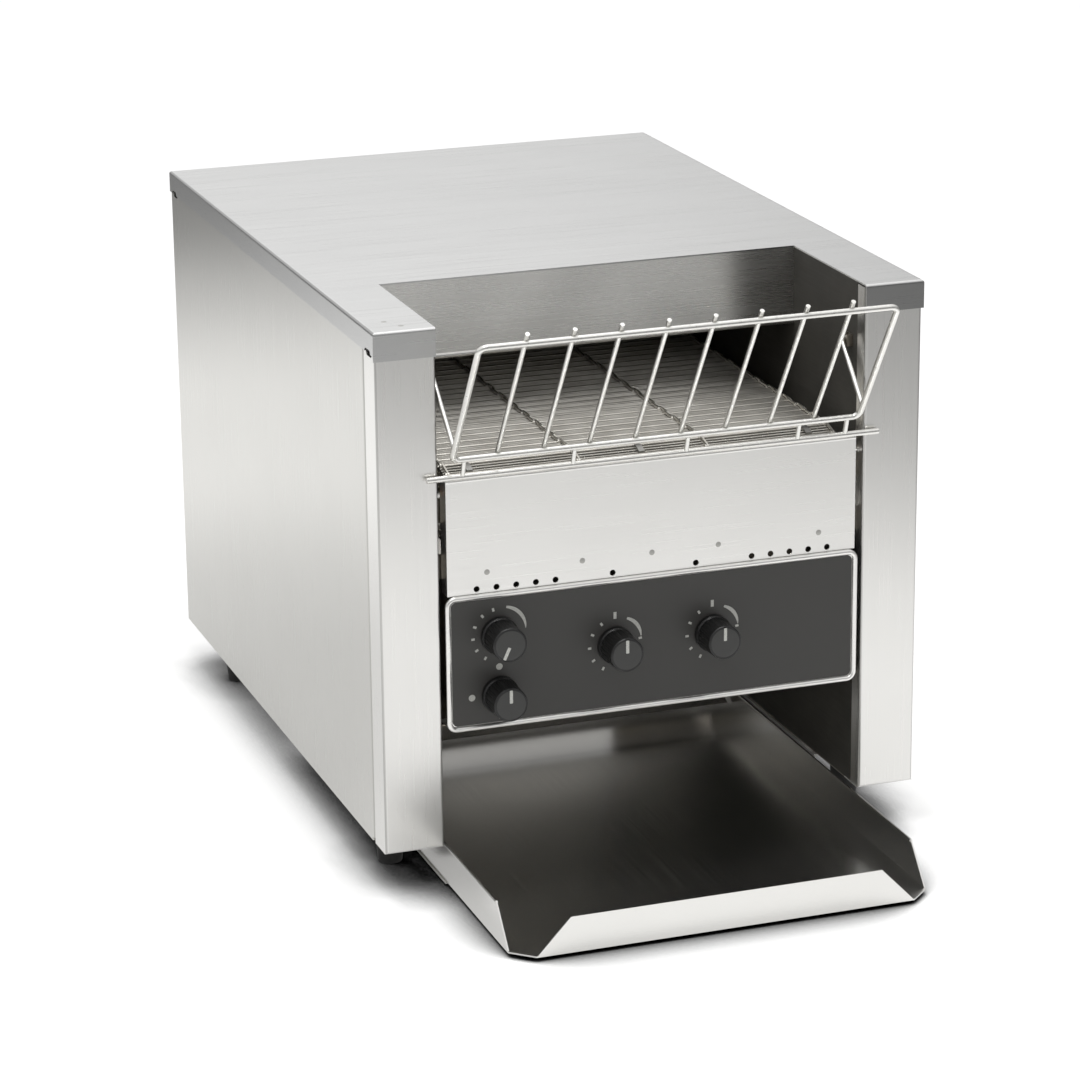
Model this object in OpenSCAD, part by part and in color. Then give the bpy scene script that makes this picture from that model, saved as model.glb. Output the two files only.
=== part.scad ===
// Countertop conveyor toaster: a sheet-steel cabinet with a loading notch, a wire-mesh conveyor
// between two banks of heating tubes, a return slide and a pull-out discharge tray.
// The frame: X to the right, Y to the back, Z up. Every module is drawn in the cabinet's own
// frame, with Y = 0 on the pillar faces and Z = 0 on the bottom edge, and placed() moves it so
// that the origin is the centre of the bounding box's bottom face.

/* [Cabinet] */
// Width over the side panels
body_w = 368; // [352:1:392]
// Depth from the pillar faces to the back of the rear panel
body_d = 500; // [488:1:536]
// Height from the bottom edge to the top of the cover
body_h = 344; // [340:1:362]
// Thickness of the cabinet sheet
sheet = 1; // [0.8:0.1:1.4]
// Outside radius of the bends in the cabinet sheet
bend_r = 2; // [1.6:0.1:3]
// Width of a front pillar's face
pillar_w = 39.5; // [38:0.5:44]
// Depth of a pillar's outer return
pillar_side = 22; // [18:1:28]
// Depth of a pillar's inner return
pillar_inner = 12; // [9:1:14]
// Gap of the seam between a pillar and its side panel
seam_gap = 1.5; // [1:0.1:2]
// Outside radius of the bend along a side panel's front edge
side_bend_r = 4; // [3:0.5:5]
// Depth of the loading notch in the top cover
notch_d = 117; // [106:1:124]
// Height of the cover's side and rear flange
cover_flange = 15; // [12:1:17]
// Height of the cover's front flange on each pillar
front_flange = 18.5; // [16:0.5:21]
// Height of the relief slots at the ends of the cover's side flanges
relief_d = 5; // [3:0.5:6]
// Length of a relief slot
relief_l = 12; // [8:0.5:13]
// Distance of a relief slot's middle from the end of the flange
relief_inset = 11; // [9:0.5:13]
// Height of the feet under the cabinet
foot_h = 30; // [30:1:36]
// Diameter of a foot at its top
foot_d = 22; // [20:1:26]
// Diameter of a foot at the ground
foot_base_d = 16; // [15:0.5:18]
// Distance of a foot's centre from the front or the rear face
foot_inset = 62; // [50:1:74]

/* [Loading mouth] */
// Depth of the belt's carrying surface below the top of the cover
belt_drop = 99; // [97:1:103]
// Clear height between the belt and the hood's lower edge
mouth_h = 46; // [42:1:50]
// Diameter of the rolled edges of the hood and the front panel
roll_d = 4; // [3:0.2:4.4]

/* [Conveyor] */
// Diameter of a belt rod
belt_wire = 2; // [1.6:0.1:2.4]
// Distance between neighbouring belt rods
belt_pitch = 12; // [11:0.5:13]
// Number of teeth on a belt sprocket
belt_teeth = 12; // [8:4:12]
// Gap between the belt and each tunnel wall
belt_gap = 10.5; // [8.5:0.5:16]
// Rows of links that tie the belt's rods together
link_rows = 4; // [4:2:6]
// Thickness of a link's wire
link_wire = 1.2; // [1:0.1:1.4]
// Number of sprockets on each shaft
sprockets = 3; // [2:1:3]
// Distance of the belt's front bend behind the pillar faces
belt_front = 8; // [7:0.5:12]
// Diameter of the two conveyor shafts
shaft_d = 12; // [10:0.5:14]
// Clear way behind the belt for a slice to drop
drop_gap = 48; // [42:1:50]

/* [Chain drive] */
// Pitch of the roller chain
chain_pitch = 6.35; // [6:0.05:7]
// Number of teeth on each chain sprocket
chain_teeth = 16; // [12:4:16]
// Diameter of a chain roller
roller_d = 3.3; // [3:0.1:3.6]
// Height of the motor shaft over the bottom edge
motor_z_wanted = 49; // [46:1:52]
// Diameter of the motor's output shaft
motor_shaft_d = 8; // [6:0.5:10]

/* [Heating] */
// Diameter of a quartz heating tube
tube_d = 11; // [9:0.5:12]
// Number of tubes in each bank
tubes = 5; // [3:1:6]
// Height of the upper tubes over the hood's lower edge
upper_tube_rise = 12; // [10:1:14]

/* [Return slide and tray] */
// Slope of the return slide
slide_angle = 27; // [26:0.5:29]
// Distance of the slide's lower end before the drive shaft
slide_run = 178; // [171:1:186]
// Height of the slide's lower end over the tray's floor
slide_drop = 14; // [13:0.5:16]
// Radius of the slide's rear bend
slide_r = 60; // [52:1:66]
// Air space behind the return slide
rear_air = 22; // [20:1:26]
// Height of the tray's side flange
tray_h = 26; // [22:1:27]
// Thickness of the tray's sheet
tray_sheet = 1; // [0.8:0.1:1.2]
// Diameter of the hem along the top of the tray's side flanges
tray_hem_d = 2.2; // [1.8:0.1:2.4]
// Distance of the tray's front edge before the pillar faces
tray_out = 128; // [100:1:140]
// How far the tray reaches behind the slide's lower end
tray_under = 35; // [28:1:42]
// Sideways cut of the tray's front corners
tray_cut_x = 14; // [10:1:18]
// Lengthways cut of the tray's front corners
tray_cut_y = 13; // [9:1:17]
// Slant of the tray's flange ends and front lip ends, as a run along the edge
tray_slant = 23; // [16:1:28]

/* [Front and controls] */
// Height of the control fascia's lower edge
fascia_z = 77; // [75:1:80]
// Height of the control fascia
fascia_h = 91; // [88:1:92]
// Diameter of the fascia's raised border bead
bead_d = 3.6; // [3:0.2:4]
// Gap between the upper front panel and each pillar
panel_gap = 5; // [4:0.5:7]
// Diameter of the vent holes in the upper front panel
vent_d = 4; // [3.2:0.1:4.6]
// Distance between neighbouring vent holes
vent_pitch = 13.2; // [12:0.2:14]
// Diameter of a knob at its base
knob_d = 24.5; // [22:0.5:27]
// Height of a knob
knob_h = 22; // [19:0.5:25]
// Distance of the left pair of knobs from the fascia's edge
left_dial_in = 35.5; // [31:0.5:38]
// Height of the speed knob's axis over the mode knob's
dial_rise = 40; // [37:0.5:41]
// Height of the mode knob's axis over the fascia's lower edge
mode_rise = 22.5; // [20:0.5:24]
// Sideways place of the top heat knob
top_heat_x = -27.5; // [-32:0.5:-22]
// Sideways place of the bottom heat knob
bottom_heat_x = 39.5; // [34:0.5:46]
// Height of the heat knobs' axes over the fascia's lower edge
heat_rise = 46; // [42:0.5:50]
// Diameter of the control spindles
spindle_d = 6; // [5:0.5:6]

/* [Wire rack] */
// Diameter of the rack's wires
rack_wire = 4; // [3.2:0.1:4.4]
// Diameter of the rack's upright wires
rack_thin_wire = 3; // [2.4:0.1:3.6]
// Lean of the rack from the upright
rack_lean = 33.5; // [28:0.5:38]
// Length of the rack's leaning face
rack_len = 103; // [92:1:112]
// Number of upright wires between the two end wires
rack_uprights = 8; // [6:1:9]
// How far the uprights stand above the top rod
rack_tip = 5.5; // [4:0.5:8]
// How far each end of the lower rod reaches over its pillar
rack_reach = 8.5; // [6:0.5:12]

/* [Rear] */
// Depth of the exhaust cowl on the rear panel
cowl_d = 8; // [6:0.5:12]
// Height of the exhaust cowl
cowl_h = 34; // [28:1:40]
// Bore of the cord gland
gland_bore = 9; // [8:0.5:10]
// Side of the cooling fan's frame
fan_side = 92; // [84:1:94]

/* [Hidden] */
$fn = 48;

// Clearances
touch = 0.3;          // a piece at rest on its seat, on another body
run_fit = 0.1;        // a shaft's bore is this much wider than the shaft
cut = 1;              // how far a cutting shape runs past the face it cuts
screw_d = 4;
screw_hole_d = 4.2;
foot_bolt_d = 5;
foot_nut_d = 9.2;
foot_recess = 6;      // depth of the pocket for the bolt's head
foot_head_d = 8.6;

// Cabinet
half_w = body_w / 2;
tunnel = half_w - pillar_w;             // half the clear width between the pillars
inner_w = half_w - sheet;               // inside face of a side panel
under_top = body_h - sheet;             // underside of the top cover's plate
wall_top = body_h - bend_r;             // top of the walls inside the cover's bends
rear_y = body_d - sheet;                // front face of the rear panel
strip_mid = (tunnel + half_w) / 2;      // middle of the cavity beside the tunnel
foot_x = strip_mid - 2;                 // sideways place of the feet
side_y = pillar_side + seam_gap;        // front of a side panel
side_front_flange = 8;                  // width of its front flange behind the bend
flange_out = half_w + sheet;            // outside of the cover's side flange

// Conveyor: a loop of linked rods on two equal sprockets
belt_top = body_h - belt_drop;
belt_w = 2 * (tunnel - belt_gap);
belt_r = belt_pitch / (2 * sin(180 / belt_teeth));
belt_z = belt_top - belt_wire / 2 - belt_r;
front_shaft_y = belt_front + belt_r + belt_wire;
slide_back_y = rear_y - rear_air;
belt_room = slide_back_y - drop_gap - front_shaft_y - belt_r - belt_wire;
belt_runs = floor(belt_room / belt_pitch);
belt_len = belt_runs * belt_pitch;
rear_shaft_y = front_shaft_y + belt_len;
belt_count = 2 * belt_runs + belt_teeth;
hub_d = shaft_d + 8;
sprocket_t = 4;
sprocket_x = belt_w / 2 - 18;
bush_d = shaft_d + 5;
bush_flange_d = bush_d + 6;
bush_flange_t = 2.5;
shaft_end = tunnel + sheet + bush_flange_t + 6;

// Chain drive, straight down from the rear shaft
chain_r = chain_pitch / (2 * sin(180 / chain_teeth));
chain_runs = round((belt_z - motor_z_wanted) / chain_pitch);
chain_len = chain_runs * chain_pitch;
motor_z = belt_z - chain_len;
chain_x = tunnel + sheet + 23;          // middle plane of the chain
roller_w = 3.2;
plate_t = 0.8;
chain_wheel_t = roller_w - 0.6;
chain_end = chain_x + 7;
gearbox = [32, 52, 46];
motor_shaft_in = 14;                    // the output shaft inside the gearbox

// Heating
reflector_gap = 6;                      // between the upper tubes and their reflector
reflector_in = 14;                      // the reflector's rear edge before the drive shaft
reflector_lip = 4;
hood_z = belt_top + mouth_h;
hood_flange = 14;
upper_tube_z = hood_z + upper_tube_rise;
lower_tube_z = belt_top - belt_wire - 12 - tube_d / 2;
upper_tube_y0 = notch_d + 38;
upper_tube_step = (rear_shaft_y - 50 - upper_tube_y0) / (tubes - 1);
lower_tube_y0 = front_shaft_y + belt_r + 48;
lower_tube_step = (rear_shaft_y - belt_r - 48 - lower_tube_y0) / (tubes - 1);
cap_d = tube_d + 5;
cap_l = 13;
tube_end = tunnel + sheet + cap_l - 3;
reflector_z = upper_tube_z + tube_d / 2 + reflector_gap;

// Tray and slide
slide_end_y = rear_shaft_y - slide_run;
tray_in = slide_end_y + tray_under;
tray_half = tunnel - 3;
tray_z = -foot_h + 3;                   // underside of the tray's floor
tray_top = tray_z + tray_h;
slide_end_z = tray_z + tray_sheet + slide_drop;
slide_slope = tan(slide_angle);
bend_y = slide_back_y - slide_r;        // centre of the slide's rear bend
bend_out_y = bend_y + slide_r * sin(slide_angle);
bend_out_z = slide_end_z + (bend_out_y - slide_end_y) * slide_slope;
bend_z = bend_out_z + slide_r * cos(slide_angle);
slide_top_z = belt_z - 12;
bend_steps = 24;
slide_low_half = tray_half - tray_sheet - 2;
guide_web_y = foot_inset + 6;           // the guides' upright webs begin behind the front feet
floor_cut_y = tray_in + 50;             // where the base pan's floor begins

// Front and controls
panel_half = tunnel - panel_gap;
fascia_half = tunnel - 3;
fascia_top = fascia_z + fascia_h;
left_dial_x = fascia_half - left_dial_in;
bead_r = bead_d / 2;
overlay_in = bead_d + 0.4;              // the overlay's edge inside the fascia's edge
overlay_t = 0.6;
overlay_y = -overlay_t;
corner_r = 5;
panel_top = belt_top;
hem_y = 0.4;                            // the front of the rolled edge
hem_proud = 0.15;                       // how far a rolled edge stands before its sheet
vent_z = fascia_top + 3.2;
vent_inset = 19.5;                      // the outermost hole from the panel's edge
vent_single_x = 28.5;
shield_y = 76;
bracket_t = 1.2;
bracket_w = 16;
control_d = 34;
control_l = 26;
knob_y = overlay_y - 0.6;               // a knob's base plane
spindle_in = 22;                        // length of a spindle behind the fascia
spindle_out = knob_h * 0.7;             // length of a spindle inside its knob
mode_z = fascia_z + mode_rise;
speed_z = mode_z + dial_rise;
heat_z = fascia_z + heat_rise;

// Wire rack
rack_r = rack_wire / 2;
rod_y = -rack_r - 1.6;                  // the lower rod, before the pillars and the cover's flange
rod_z = panel_top + touch + rack_r;
sill_y = rod_y - 4;                     // the rod at the foot of the leaning face
sill_z = rod_z + 12.5;
rack_half = tunnel - 7;                 // middle of an end wire
rack_corner = 5;
rack_ties = [-1.85, 0.65, 3.15];        // the ties between the two low rods, in steps of the uprights
arm_foot = 10;                          // where a side arm leaves its end wire, up the lean
arm_y = 24;
arm_z = sill_z + 44;
clip_gap = 1;

// Rear and fan
rear_flange = 12;                       // width of a side panel's rear flange
fan_t = 25;
fan_bore = fan_side - 6;
fan_x = -tunnel + fan_side / 2 + 12;
fan_y = rear_y - 18 - fan_side / 2;
rotor_hub = 34;
gland_d = gland_bore + 7;
gland_x = (tunnel + sheet + inner_w - rear_flange) / 2;
gland_z = 44;
board_y = body_d / 2 - 20;
board_z = 110;
cowl_top = body_h - cover_flange - 1;
louvre_l = 26;                          // the cooling slots low on the rear panel
louvre_w = 5;
exhaust_l = 24;                         // the slots under the cowl
exhaust_w = 10;

// Bounding box, for the origin
front_most = -tray_out;
rear_most = body_d + 16;                // the gland's dome nut
mid_y = (front_most + rear_most) / 2;

// ---------------------------------------------------------------- helpers

// Moves the cabinet's frame to the part's own frame
module placed() { translate([0, -mid_y, foot_h]) children(); }

// A block between two opposite corners
module block(a, b) { translate(a) cube(b - a); }

// Children once at each side
module both_sides() {
  children();
  mirror([1, 0, 0]) children();
}

// A straight round bar along X, Y or Z from a point
module bar_x(p, l, d) { translate(p) rotate([0, 90, 0]) cylinder(h = l, d = d); }
module bar_y(p, l, d) { translate(p) rotate([-90, 0, 0]) cylinder(h = l, d = d); }
module bar_z(p, l, d) { translate(p) cylinder(h = l, d = d); }

// A straight round bar between two points
module bar(a, b, d) {
  v = b - a;
  l = norm(v);
  translate(a) rotate([0, acos(v[2] / l), atan2(v[1], v[0])]) cylinder(h = l, d = d);
}

// A 2D outline in the YZ plane, extruded along X from x0 by l
module along_x(x0, l) { translate([x0, 0, 0]) rotate([90, 0, 90]) linear_extrude(l) children(); }

// A rectangle with round corners, centred
module round_rect(w, h, r) {
  square([w - 2 * r, h], center = true);
  square([w, h - 2 * r], center = true);
  for (x = [-1, 1], y = [-1, 1]) translate([x * (w / 2 - r), y * (h / 2 - r)]) circle(r);
}

// A slot outline, lying along X
module slot_2d(l, d) {
  square([l - d, d], center = true);
  for (x = [-1, 1]) translate([x * (l - d) / 2, 0]) circle(d = d);
}

// A closed frame of round wire in the XY plane, w by h on the wire's middle line
module wire_frame(w, h, r, d) {
  for (s = [-1, 1]) {
    bar_x([-w / 2 + r, s * h / 2, 0], w - 2 * r, d);
    bar_y([s * w / 2, -h / 2 + r, 0], h - 2 * r, d);
  }
  for (i = [0:3]) {
    x = (i == 0 || i == 3) ? w / 2 - r : r - w / 2;
    y = i < 2 ? h / 2 - r : r - h / 2;
    translate([x, y, 0]) rotate([0, 0, 90 * i]) rotate_extrude(angle = 90) translate([r, 0]) circle(d = d);
  }
}

// Point k of a loop of equal links round two equal wheels: [along, across, heading].
// The loop runs out on the +across side, turns round the far wheel and comes back.
function loop_point(k, runs, teeth, pitch, r) =
  k <= runs ? [k * pitch, r, 0] :
  k <= runs + teeth / 2 ?
    let (a = (k - runs) * 360 / teeth) [runs * pitch + r * sin(a), r * cos(a), a] :
  k <= 2 * runs + teeth / 2 ?
    [(2 * runs + teeth / 2 - k) * pitch, -r, 180] :
    let (a = (k - 2 * runs) * 360 / teeth) [r * sin(a), r * cos(a), a];

function belt_point(k) = loop_point(k, belt_runs, belt_teeth, belt_pitch, belt_r);

// A wheel whose gaps hold round bars at the pitch radius and open outward, along Z, centred
module toothed_wheel(teeth, r, bar_d, t) {
  seat = bar_d / 2 + touch;
  mouth = seat + bar_d * 0.6;
  out = r + bar_d * 1.5;
  linear_extrude(t, center = true) difference() {
    circle(r + bar_d * 0.75, $fn = 96);
    for (i = [0:teeth - 1]) rotate(i * 360 / teeth) {
      translate([r, 0]) circle(seat);
      polygon([[r, -seat], [out, -mouth], [out, mouth], [r, seat]]);
    }
  }
}

// ---------------------------------------------------------------- cabinet

// Floor plate with the discharge cut-out, feet holes and the fan's opening
module base_pan() {
  color("silver") placed() difference() {
    union() {
      block([-inner_w, pillar_side + touch, 0], [inner_w, rear_y, sheet]);
      both_sides() block([tunnel + sheet, floor_cut_y, sheet], [tunnel + 2 * sheet, rear_y, 12]);
      block([-tunnel, floor_cut_y, sheet], [tunnel, floor_cut_y + sheet, 12]);
    }
    block([-tunnel, -cut, -cut], [tunnel, floor_cut_y, sheet + cut]);
    feet_places() bar_z([0, 0, -cut], sheet + 2 * cut, foot_bolt_d + 0.6);
    bar_z([fan_x, fan_y, -cut], sheet + 2 * cut, fan_bore);
  }
}

module feet_places() {
  for (x = [-1, 1], y = [foot_inset, body_d - foot_inset]) translate([x * foot_x, y, 0]) children();
}

// One side sheet, bent inward along its front edge, with its bottom flange and the rear flange
// that the rear panel's screws hold
module side_panel() {
  y1 = side_y + side_bend_r;
  difference() {
    union() {
      block([inner_w, y1, 0], [half_w, body_d, wall_top]);
      translate([0, 0, 2 * sheet]) linear_extrude(wall_top - 2 * sheet) side_front_edge();
    }
    relief_slots();
  }
  block([inner_w - 10, y1, sheet], [inner_w, rear_y, 2 * sheet]);
  difference() {
    block([inner_w - rear_flange, rear_y - sheet, 2 * sheet], [inner_w, rear_y, wall_top]);
    rear_screw_places() bar_y([0, -2 * sheet - cut, 0], sheet + 2 * cut, screw_hole_d);
  }
}

// A side panel's front bend and flange in plan
module side_front_edge() {
  r = side_bend_r;
  translate([half_w - r, side_y + r]) intersection() {
    difference() {
      circle(r);
      circle(r - sheet);
    }
    translate([0, -r]) square(r);
  }
  translate([half_w - r - side_front_flange, side_y]) square([side_front_flange, sheet]);
}

// Slots at both ends of the right side flange's lower edge, through the wall behind it
module relief_slots() {
  for (y = [relief_inset, body_d - relief_inset]) {
    translate([0, y, body_h - cover_flange]) rotate([90, 0, 90]) translate([0, 0, inner_w - cut]) {
      linear_extrude(2 * sheet + 2 * cut) slot_2d(relief_l, relief_d);
    }
  }
}

module left_side_panel() { color("gainsboro") placed() mirror([1, 0, 0]) side_panel(); }
module right_side_panel() { color("gainsboro") placed() side_panel(); }

// A U-shaped front pillar with bent front corners and a bent lower flange
module pillar() {
  difference() {
    pillar_solid(0);
    pillar_solid(sheet);
    block([tunnel - cut, pillar_inner, sheet], [tunnel + pillar_w / 2, body_d, body_h]);
    relief_slots();
  }
}

// A pillar's plan carried up, its lower front edge bent, in from its outside by a distance
module pillar_solid(in) {
  r = bend_r - in;
  y1 = pillar_side + (in > 0 ? cut : 0);
  z1 = wall_top + (in > 0 ? cut : 0);
  intersection() {
    translate([0, 0, in]) linear_extrude(z1 - in) pillar_outline(in);
    along_x(tunnel, pillar_w) {
      translate([in, in + r]) square([y1 - in, z1 - in - r]);
      translate([in + r, in]) square([y1 - in - r, z1 - in]);
      translate([in + r, in + r]) circle(r);
    }
  }
}

// A pillar's plan in from its outside by a distance, open to the back
module pillar_outline(in) {
  r = bend_r - in;
  y1 = pillar_side + (in > 0 ? cut : 0);
  translate([tunnel + in, in + r]) square([pillar_w - 2 * in, y1 - in - r]);
  translate([tunnel + in + r, in]) square([pillar_w - 2 * (in + r), y1 - in]);
  for (x = [tunnel + in + r, half_w - in - r]) translate([x, in + r]) circle(r);
}

module left_pillar() { color("gainsboro") placed() mirror([1, 0, 0]) pillar(); }
module right_pillar() { color("gainsboro") placed() pillar(); }

// Top plate with the loading notch, folded down all round: a cap whose upper edges are bends
module top_cover() {
  side_z = body_h - cover_flange;
  x1 = flange_out + cut;
  y1 = body_d + 2 * cut;
  color("gainsboro") placed() difference() {
    cap(0);
    cap(sheet);
    block([-x1, -sheet - cut, -cut], [x1, y1, body_h - front_flange]);
    block([-x1, 0, -cut], [x1, y1, side_z]);
    block([-tunnel, -sheet - cut, -cut], [tunnel, notch_d, body_h + cut]);
    both_sides() relief_slots();
    cover_screw_places() bar_y([0, -cut, 0], sheet + 2 * cut, screw_hole_d);
  }
}

// A block with bent upper edges, in from the cover's outside by a distance, open below
module cap(in) {
  r = bend_r - in;
  w = 2 * (flange_out - in);
  l = body_d + 2 * (sheet - in);
  h = body_h - in;
  intersection() {
    translate([0, body_d + sheet - in, 0]) rotate([90, 0, 0]) linear_extrude(l) round_top(w, h, r);
    along_x(-w / 2, w) translate([body_d / 2, 0]) round_top(l, h, r);
  }
}

// A rectangle from the axis up, with round upper corners
module round_top(w, h, r) {
  translate([-w / 2, 0]) square([w, h - r]);
  translate([-w / 2 + r, 0]) square([w - 2 * r, h]);
  for (x = [-1, 1]) translate([x * (w / 2 - r), h - r]) circle(r);
}

module cover_screw_places() {
  z = body_h - cover_flange / 2 - sheet / 2;
  for (x = [-1, 0, 1]) translate([x * (tunnel - 12), body_d, z]) children();
}

// Pan-head screws of the cover's rear flange and the rear panel
module case_screws() {
  color("lightgray") placed() {
    cover_screw_places() {
      bar_y([0, -8, 0], 8 + sheet, screw_d);
      pan_head([0, sheet, 0], 7.4, 2.4);
    }
    rear_screw_places() {
      bar_y([0, -8, 0], 8, screw_d);
      pan_head([0, 0, 0], 7.4, 2.4);
    }
  }
}

// A screw's pan head with a cross slot, its face towards +Y
module pan_head(p, d, h) {
  translate(p) difference() {
    rotate([-90, 0, 0]) rotate_extrude() {
      square([d / 2 - h / 2, h]);
      square([d / 2, h / 2]);
      translate([d / 2 - h / 2, h / 2]) circle(h / 2);
    }
    block([-d * 0.3, h * 0.5, -0.5], [d * 0.3, h + cut, 0.5]);
    block([-0.5, h * 0.5, -d * 0.3], [0.5, h + cut, d * 0.3]);
  }
}

// Wall behind the notch, with a rolled lower edge and a top flange
module hood_wall() {
  roll_z = hood_z + roll_d / 2;
  color("darkgray") placed() {
    block([-tunnel, notch_d, roll_z], [tunnel, notch_d + sheet, under_top]);
    bar_x([-tunnel, notch_d + sheet + hem_proud - roll_d / 2, roll_z], 2 * tunnel, roll_d);
    block([-tunnel, notch_d, under_top - sheet], [tunnel, notch_d + hood_flange, under_top]);
  }
}

// Side wall of the tunnel, with holes for bushes and heating tubes
module liner(chain_side) {
  difference() {
    block([tunnel, pillar_inner, sheet], [tunnel + sheet, rear_y, under_top]);
    for (y = [front_shaft_y, rear_shaft_y]) {
      bar_x([tunnel - cut, y, belt_z], sheet + 2 * cut, bush_d + run_fit);
    }
    tube_places() bar_x([tunnel - cut, 0, 0], sheet + 2 * cut, tube_d + 1);
    if (chain_side) {
      bar_x([tunnel - cut, rear_shaft_y, motor_z], sheet + 2 * cut, motor_shaft_d + 10);
    }
  }
}

module tube_places() {
  for (i = [0:tubes - 1]) {
    translate([0, upper_tube_y0 + i * upper_tube_step, upper_tube_z]) children();
    translate([0, lower_tube_y0 + i * lower_tube_step, lower_tube_z]) children();
  }
}

module left_liner() { color("gray") placed() mirror([1, 0, 0]) liner(false); }
module right_liner() { color("gray") placed() liner(true); }

// Back sheet with louvre slots and the gland's hole
module rear_panel() {
  color("gainsboro") placed() difference() {
    block([-inner_w, rear_y, 0], [inner_w, body_d, wall_top]);
    for (i = [0:9], j = [0:2]) {
      translate([fan_x + (i - 3) * louvre_w * 2.8, body_d + cut, 34 + j * (louvre_l + 8)]) {
        rotate([90, 0, 0]) linear_extrude(sheet + 2 * cut) rotate(90) slot_2d(louvre_l, louvre_w);
      }
    }
    for (i = [0:8]) {
      translate([(i - 4) * (exhaust_l + 10), body_d + cut, cowl_top - cowl_h / 2 - 3]) {
        rotate([90, 0, 0]) linear_extrude(sheet + 2 * cut) slot_2d(exhaust_l, exhaust_w);
      }
    }
    bar_y([gland_x, rear_y - cut, gland_z], sheet + 2 * cut, gland_d + run_fit);
    rear_screw_places() bar_y([0, -sheet - cut, 0], sheet + 2 * cut, screw_hole_d);
    cover_screw_places() bar_y([0, -sheet - cut, 0], sheet + 2 * cut, screw_hole_d);
  }
}

module rear_screw_places() {
  for (x = [-1, 1], z = [14, body_h * 0.42, cowl_top - cowl_h - 12]) {
    translate([x * (inner_w - rear_flange / 2), body_d, z]) children();
  }
}

// Exhaust hood over the upper slots, open along its lower side
module rear_cowl() {
  z0 = cowl_top - cowl_h;
  color("silver") placed() {
    difference() {
      block([-half_w + 2, body_d, z0], [half_w - 2, body_d + cowl_d, cowl_top]);
      block([-half_w + 2 + sheet, body_d - cut, z0 - cut],
            [half_w - 2 - sheet, body_d + cowl_d - sheet, cowl_top - sheet]);
    }
  }
}

// Cord gland: threaded body through the rear panel, lock nut inside and dome nut outside
module cord_gland() {
  color("dimgray") placed() translate([gland_x, body_d, gland_z]) difference() {
    union() {
      bar_y([0, -12, 0], 14, gland_d);
      translate([0, -sheet, 0]) rotate([90, 0, 0]) cylinder(h = 4, d = gland_d + 7, $fn = 6);
      rotate([-90, 0, 0]) cylinder(h = 4, d = gland_d + 8, $fn = 6);
      rotate([-90, 0, 0]) rotate_extrude() {
        square([gland_d / 2 + 1, 14]);
        square([gland_d / 2 + 3, 12]);
        translate([gland_d / 2 + 1, 12]) intersection() {
          circle(2);
          square([2, 2]);
        }
        square([gland_d / 2 - 1, 16]);
      }
    }
    bar_y([0, -12 - cut, 0], 28 + 2 * cut, gland_bore);
  }
}

// Rubber feet: a collar, a tapered body and a round ground edge
module feet() {
  r = 1;
  low = foot_base_d / 2;
  color("#202020") placed() feet_places() rotate_extrude() difference() {
    polygon(concat(
      [[0, 0], [foot_d / 2, 0], [foot_d / 2, -4], [foot_d / 2 - 0.8, -4.8]],
      [for (a = [0:-15:-90]) [low - r + r * cos(a), -foot_h + r + r * sin(a)]],
      [[0, -foot_h]]
    ));
    translate([0, -foot_h - cut]) square([(foot_bolt_d + run_fit) / 2, foot_h + 2 * cut]);
    translate([0, -foot_h - cut]) square([foot_head_d / 2 + 0.5, foot_recess + cut]);
  }
}

// A foot's bolt, its head in the foot's recess, with its nut on the base pan
module foot_screws() {
  color("lightgray") placed() feet_places() {
    bar_z([0, 0, -foot_h + foot_recess], foot_h + 3, foot_bolt_d);
    bar_z([0, 0, -foot_h + foot_recess - 3.5], 3.5, foot_head_d);
    translate([0, 0, sheet]) cylinder(h = 5, d = foot_nut_d, $fn = 6);
  }
}

// ---------------------------------------------------------------- front

// Upper front sheet with a rolled top hem, side returns and vent holes
module front_panel() {
  low = fascia_top + 0.1;
  y0 = hem_y + hem_proud;
  hem_z = panel_top - roll_d / 2;
  color("gainsboro") placed() difference() {
    union() {
      block([-panel_half, y0, low], [panel_half, y0 + sheet, hem_z]);
      bar_x([-panel_half, hem_y + roll_d / 2, hem_z], 2 * panel_half, roll_d);
      both_sides() block([panel_half - sheet, y0, low], [panel_half, pillar_inner, hem_z]);
    }
    vent_places() bar_y([0, -cut, 0], sheet + 3 * cut, vent_d);
  }
}

// Five holes at each side and a single one at each side of the middle
module vent_places() {
  x0 = panel_half - vent_inset;
  for (i = [0:4], s = [-1, 1]) translate([s * (x0 - i * vent_pitch), 0, vent_z]) children();
  for (s = [-1, 1]) translate([s * vent_single_x, 0, vent_z]) children();
}

// Z-shaped brackets that hold the front panel's returns to the tunnel walls
module panel_brackets() {
  t = bracket_t;
  y1 = pillar_inner + 4;
  y2 = front_shaft_y - bush_d / 2 - 2;
  color("darkgray") placed() both_sides() {
    for (z = [fascia_top + bracket_w / 2, panel_top - 2 * bracket_w]) {
      block([panel_half - sheet - t, hem_y + sheet + 2, z], [panel_half - sheet, y1, z + bracket_w]);
      block([panel_half - sheet - t, y1 - t, z], [tunnel, y1, z + bracket_w]);
      block([tunnel - t, y1 - t, z], [tunnel, y2, z + bracket_w]);
    }
  }
}

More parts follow.
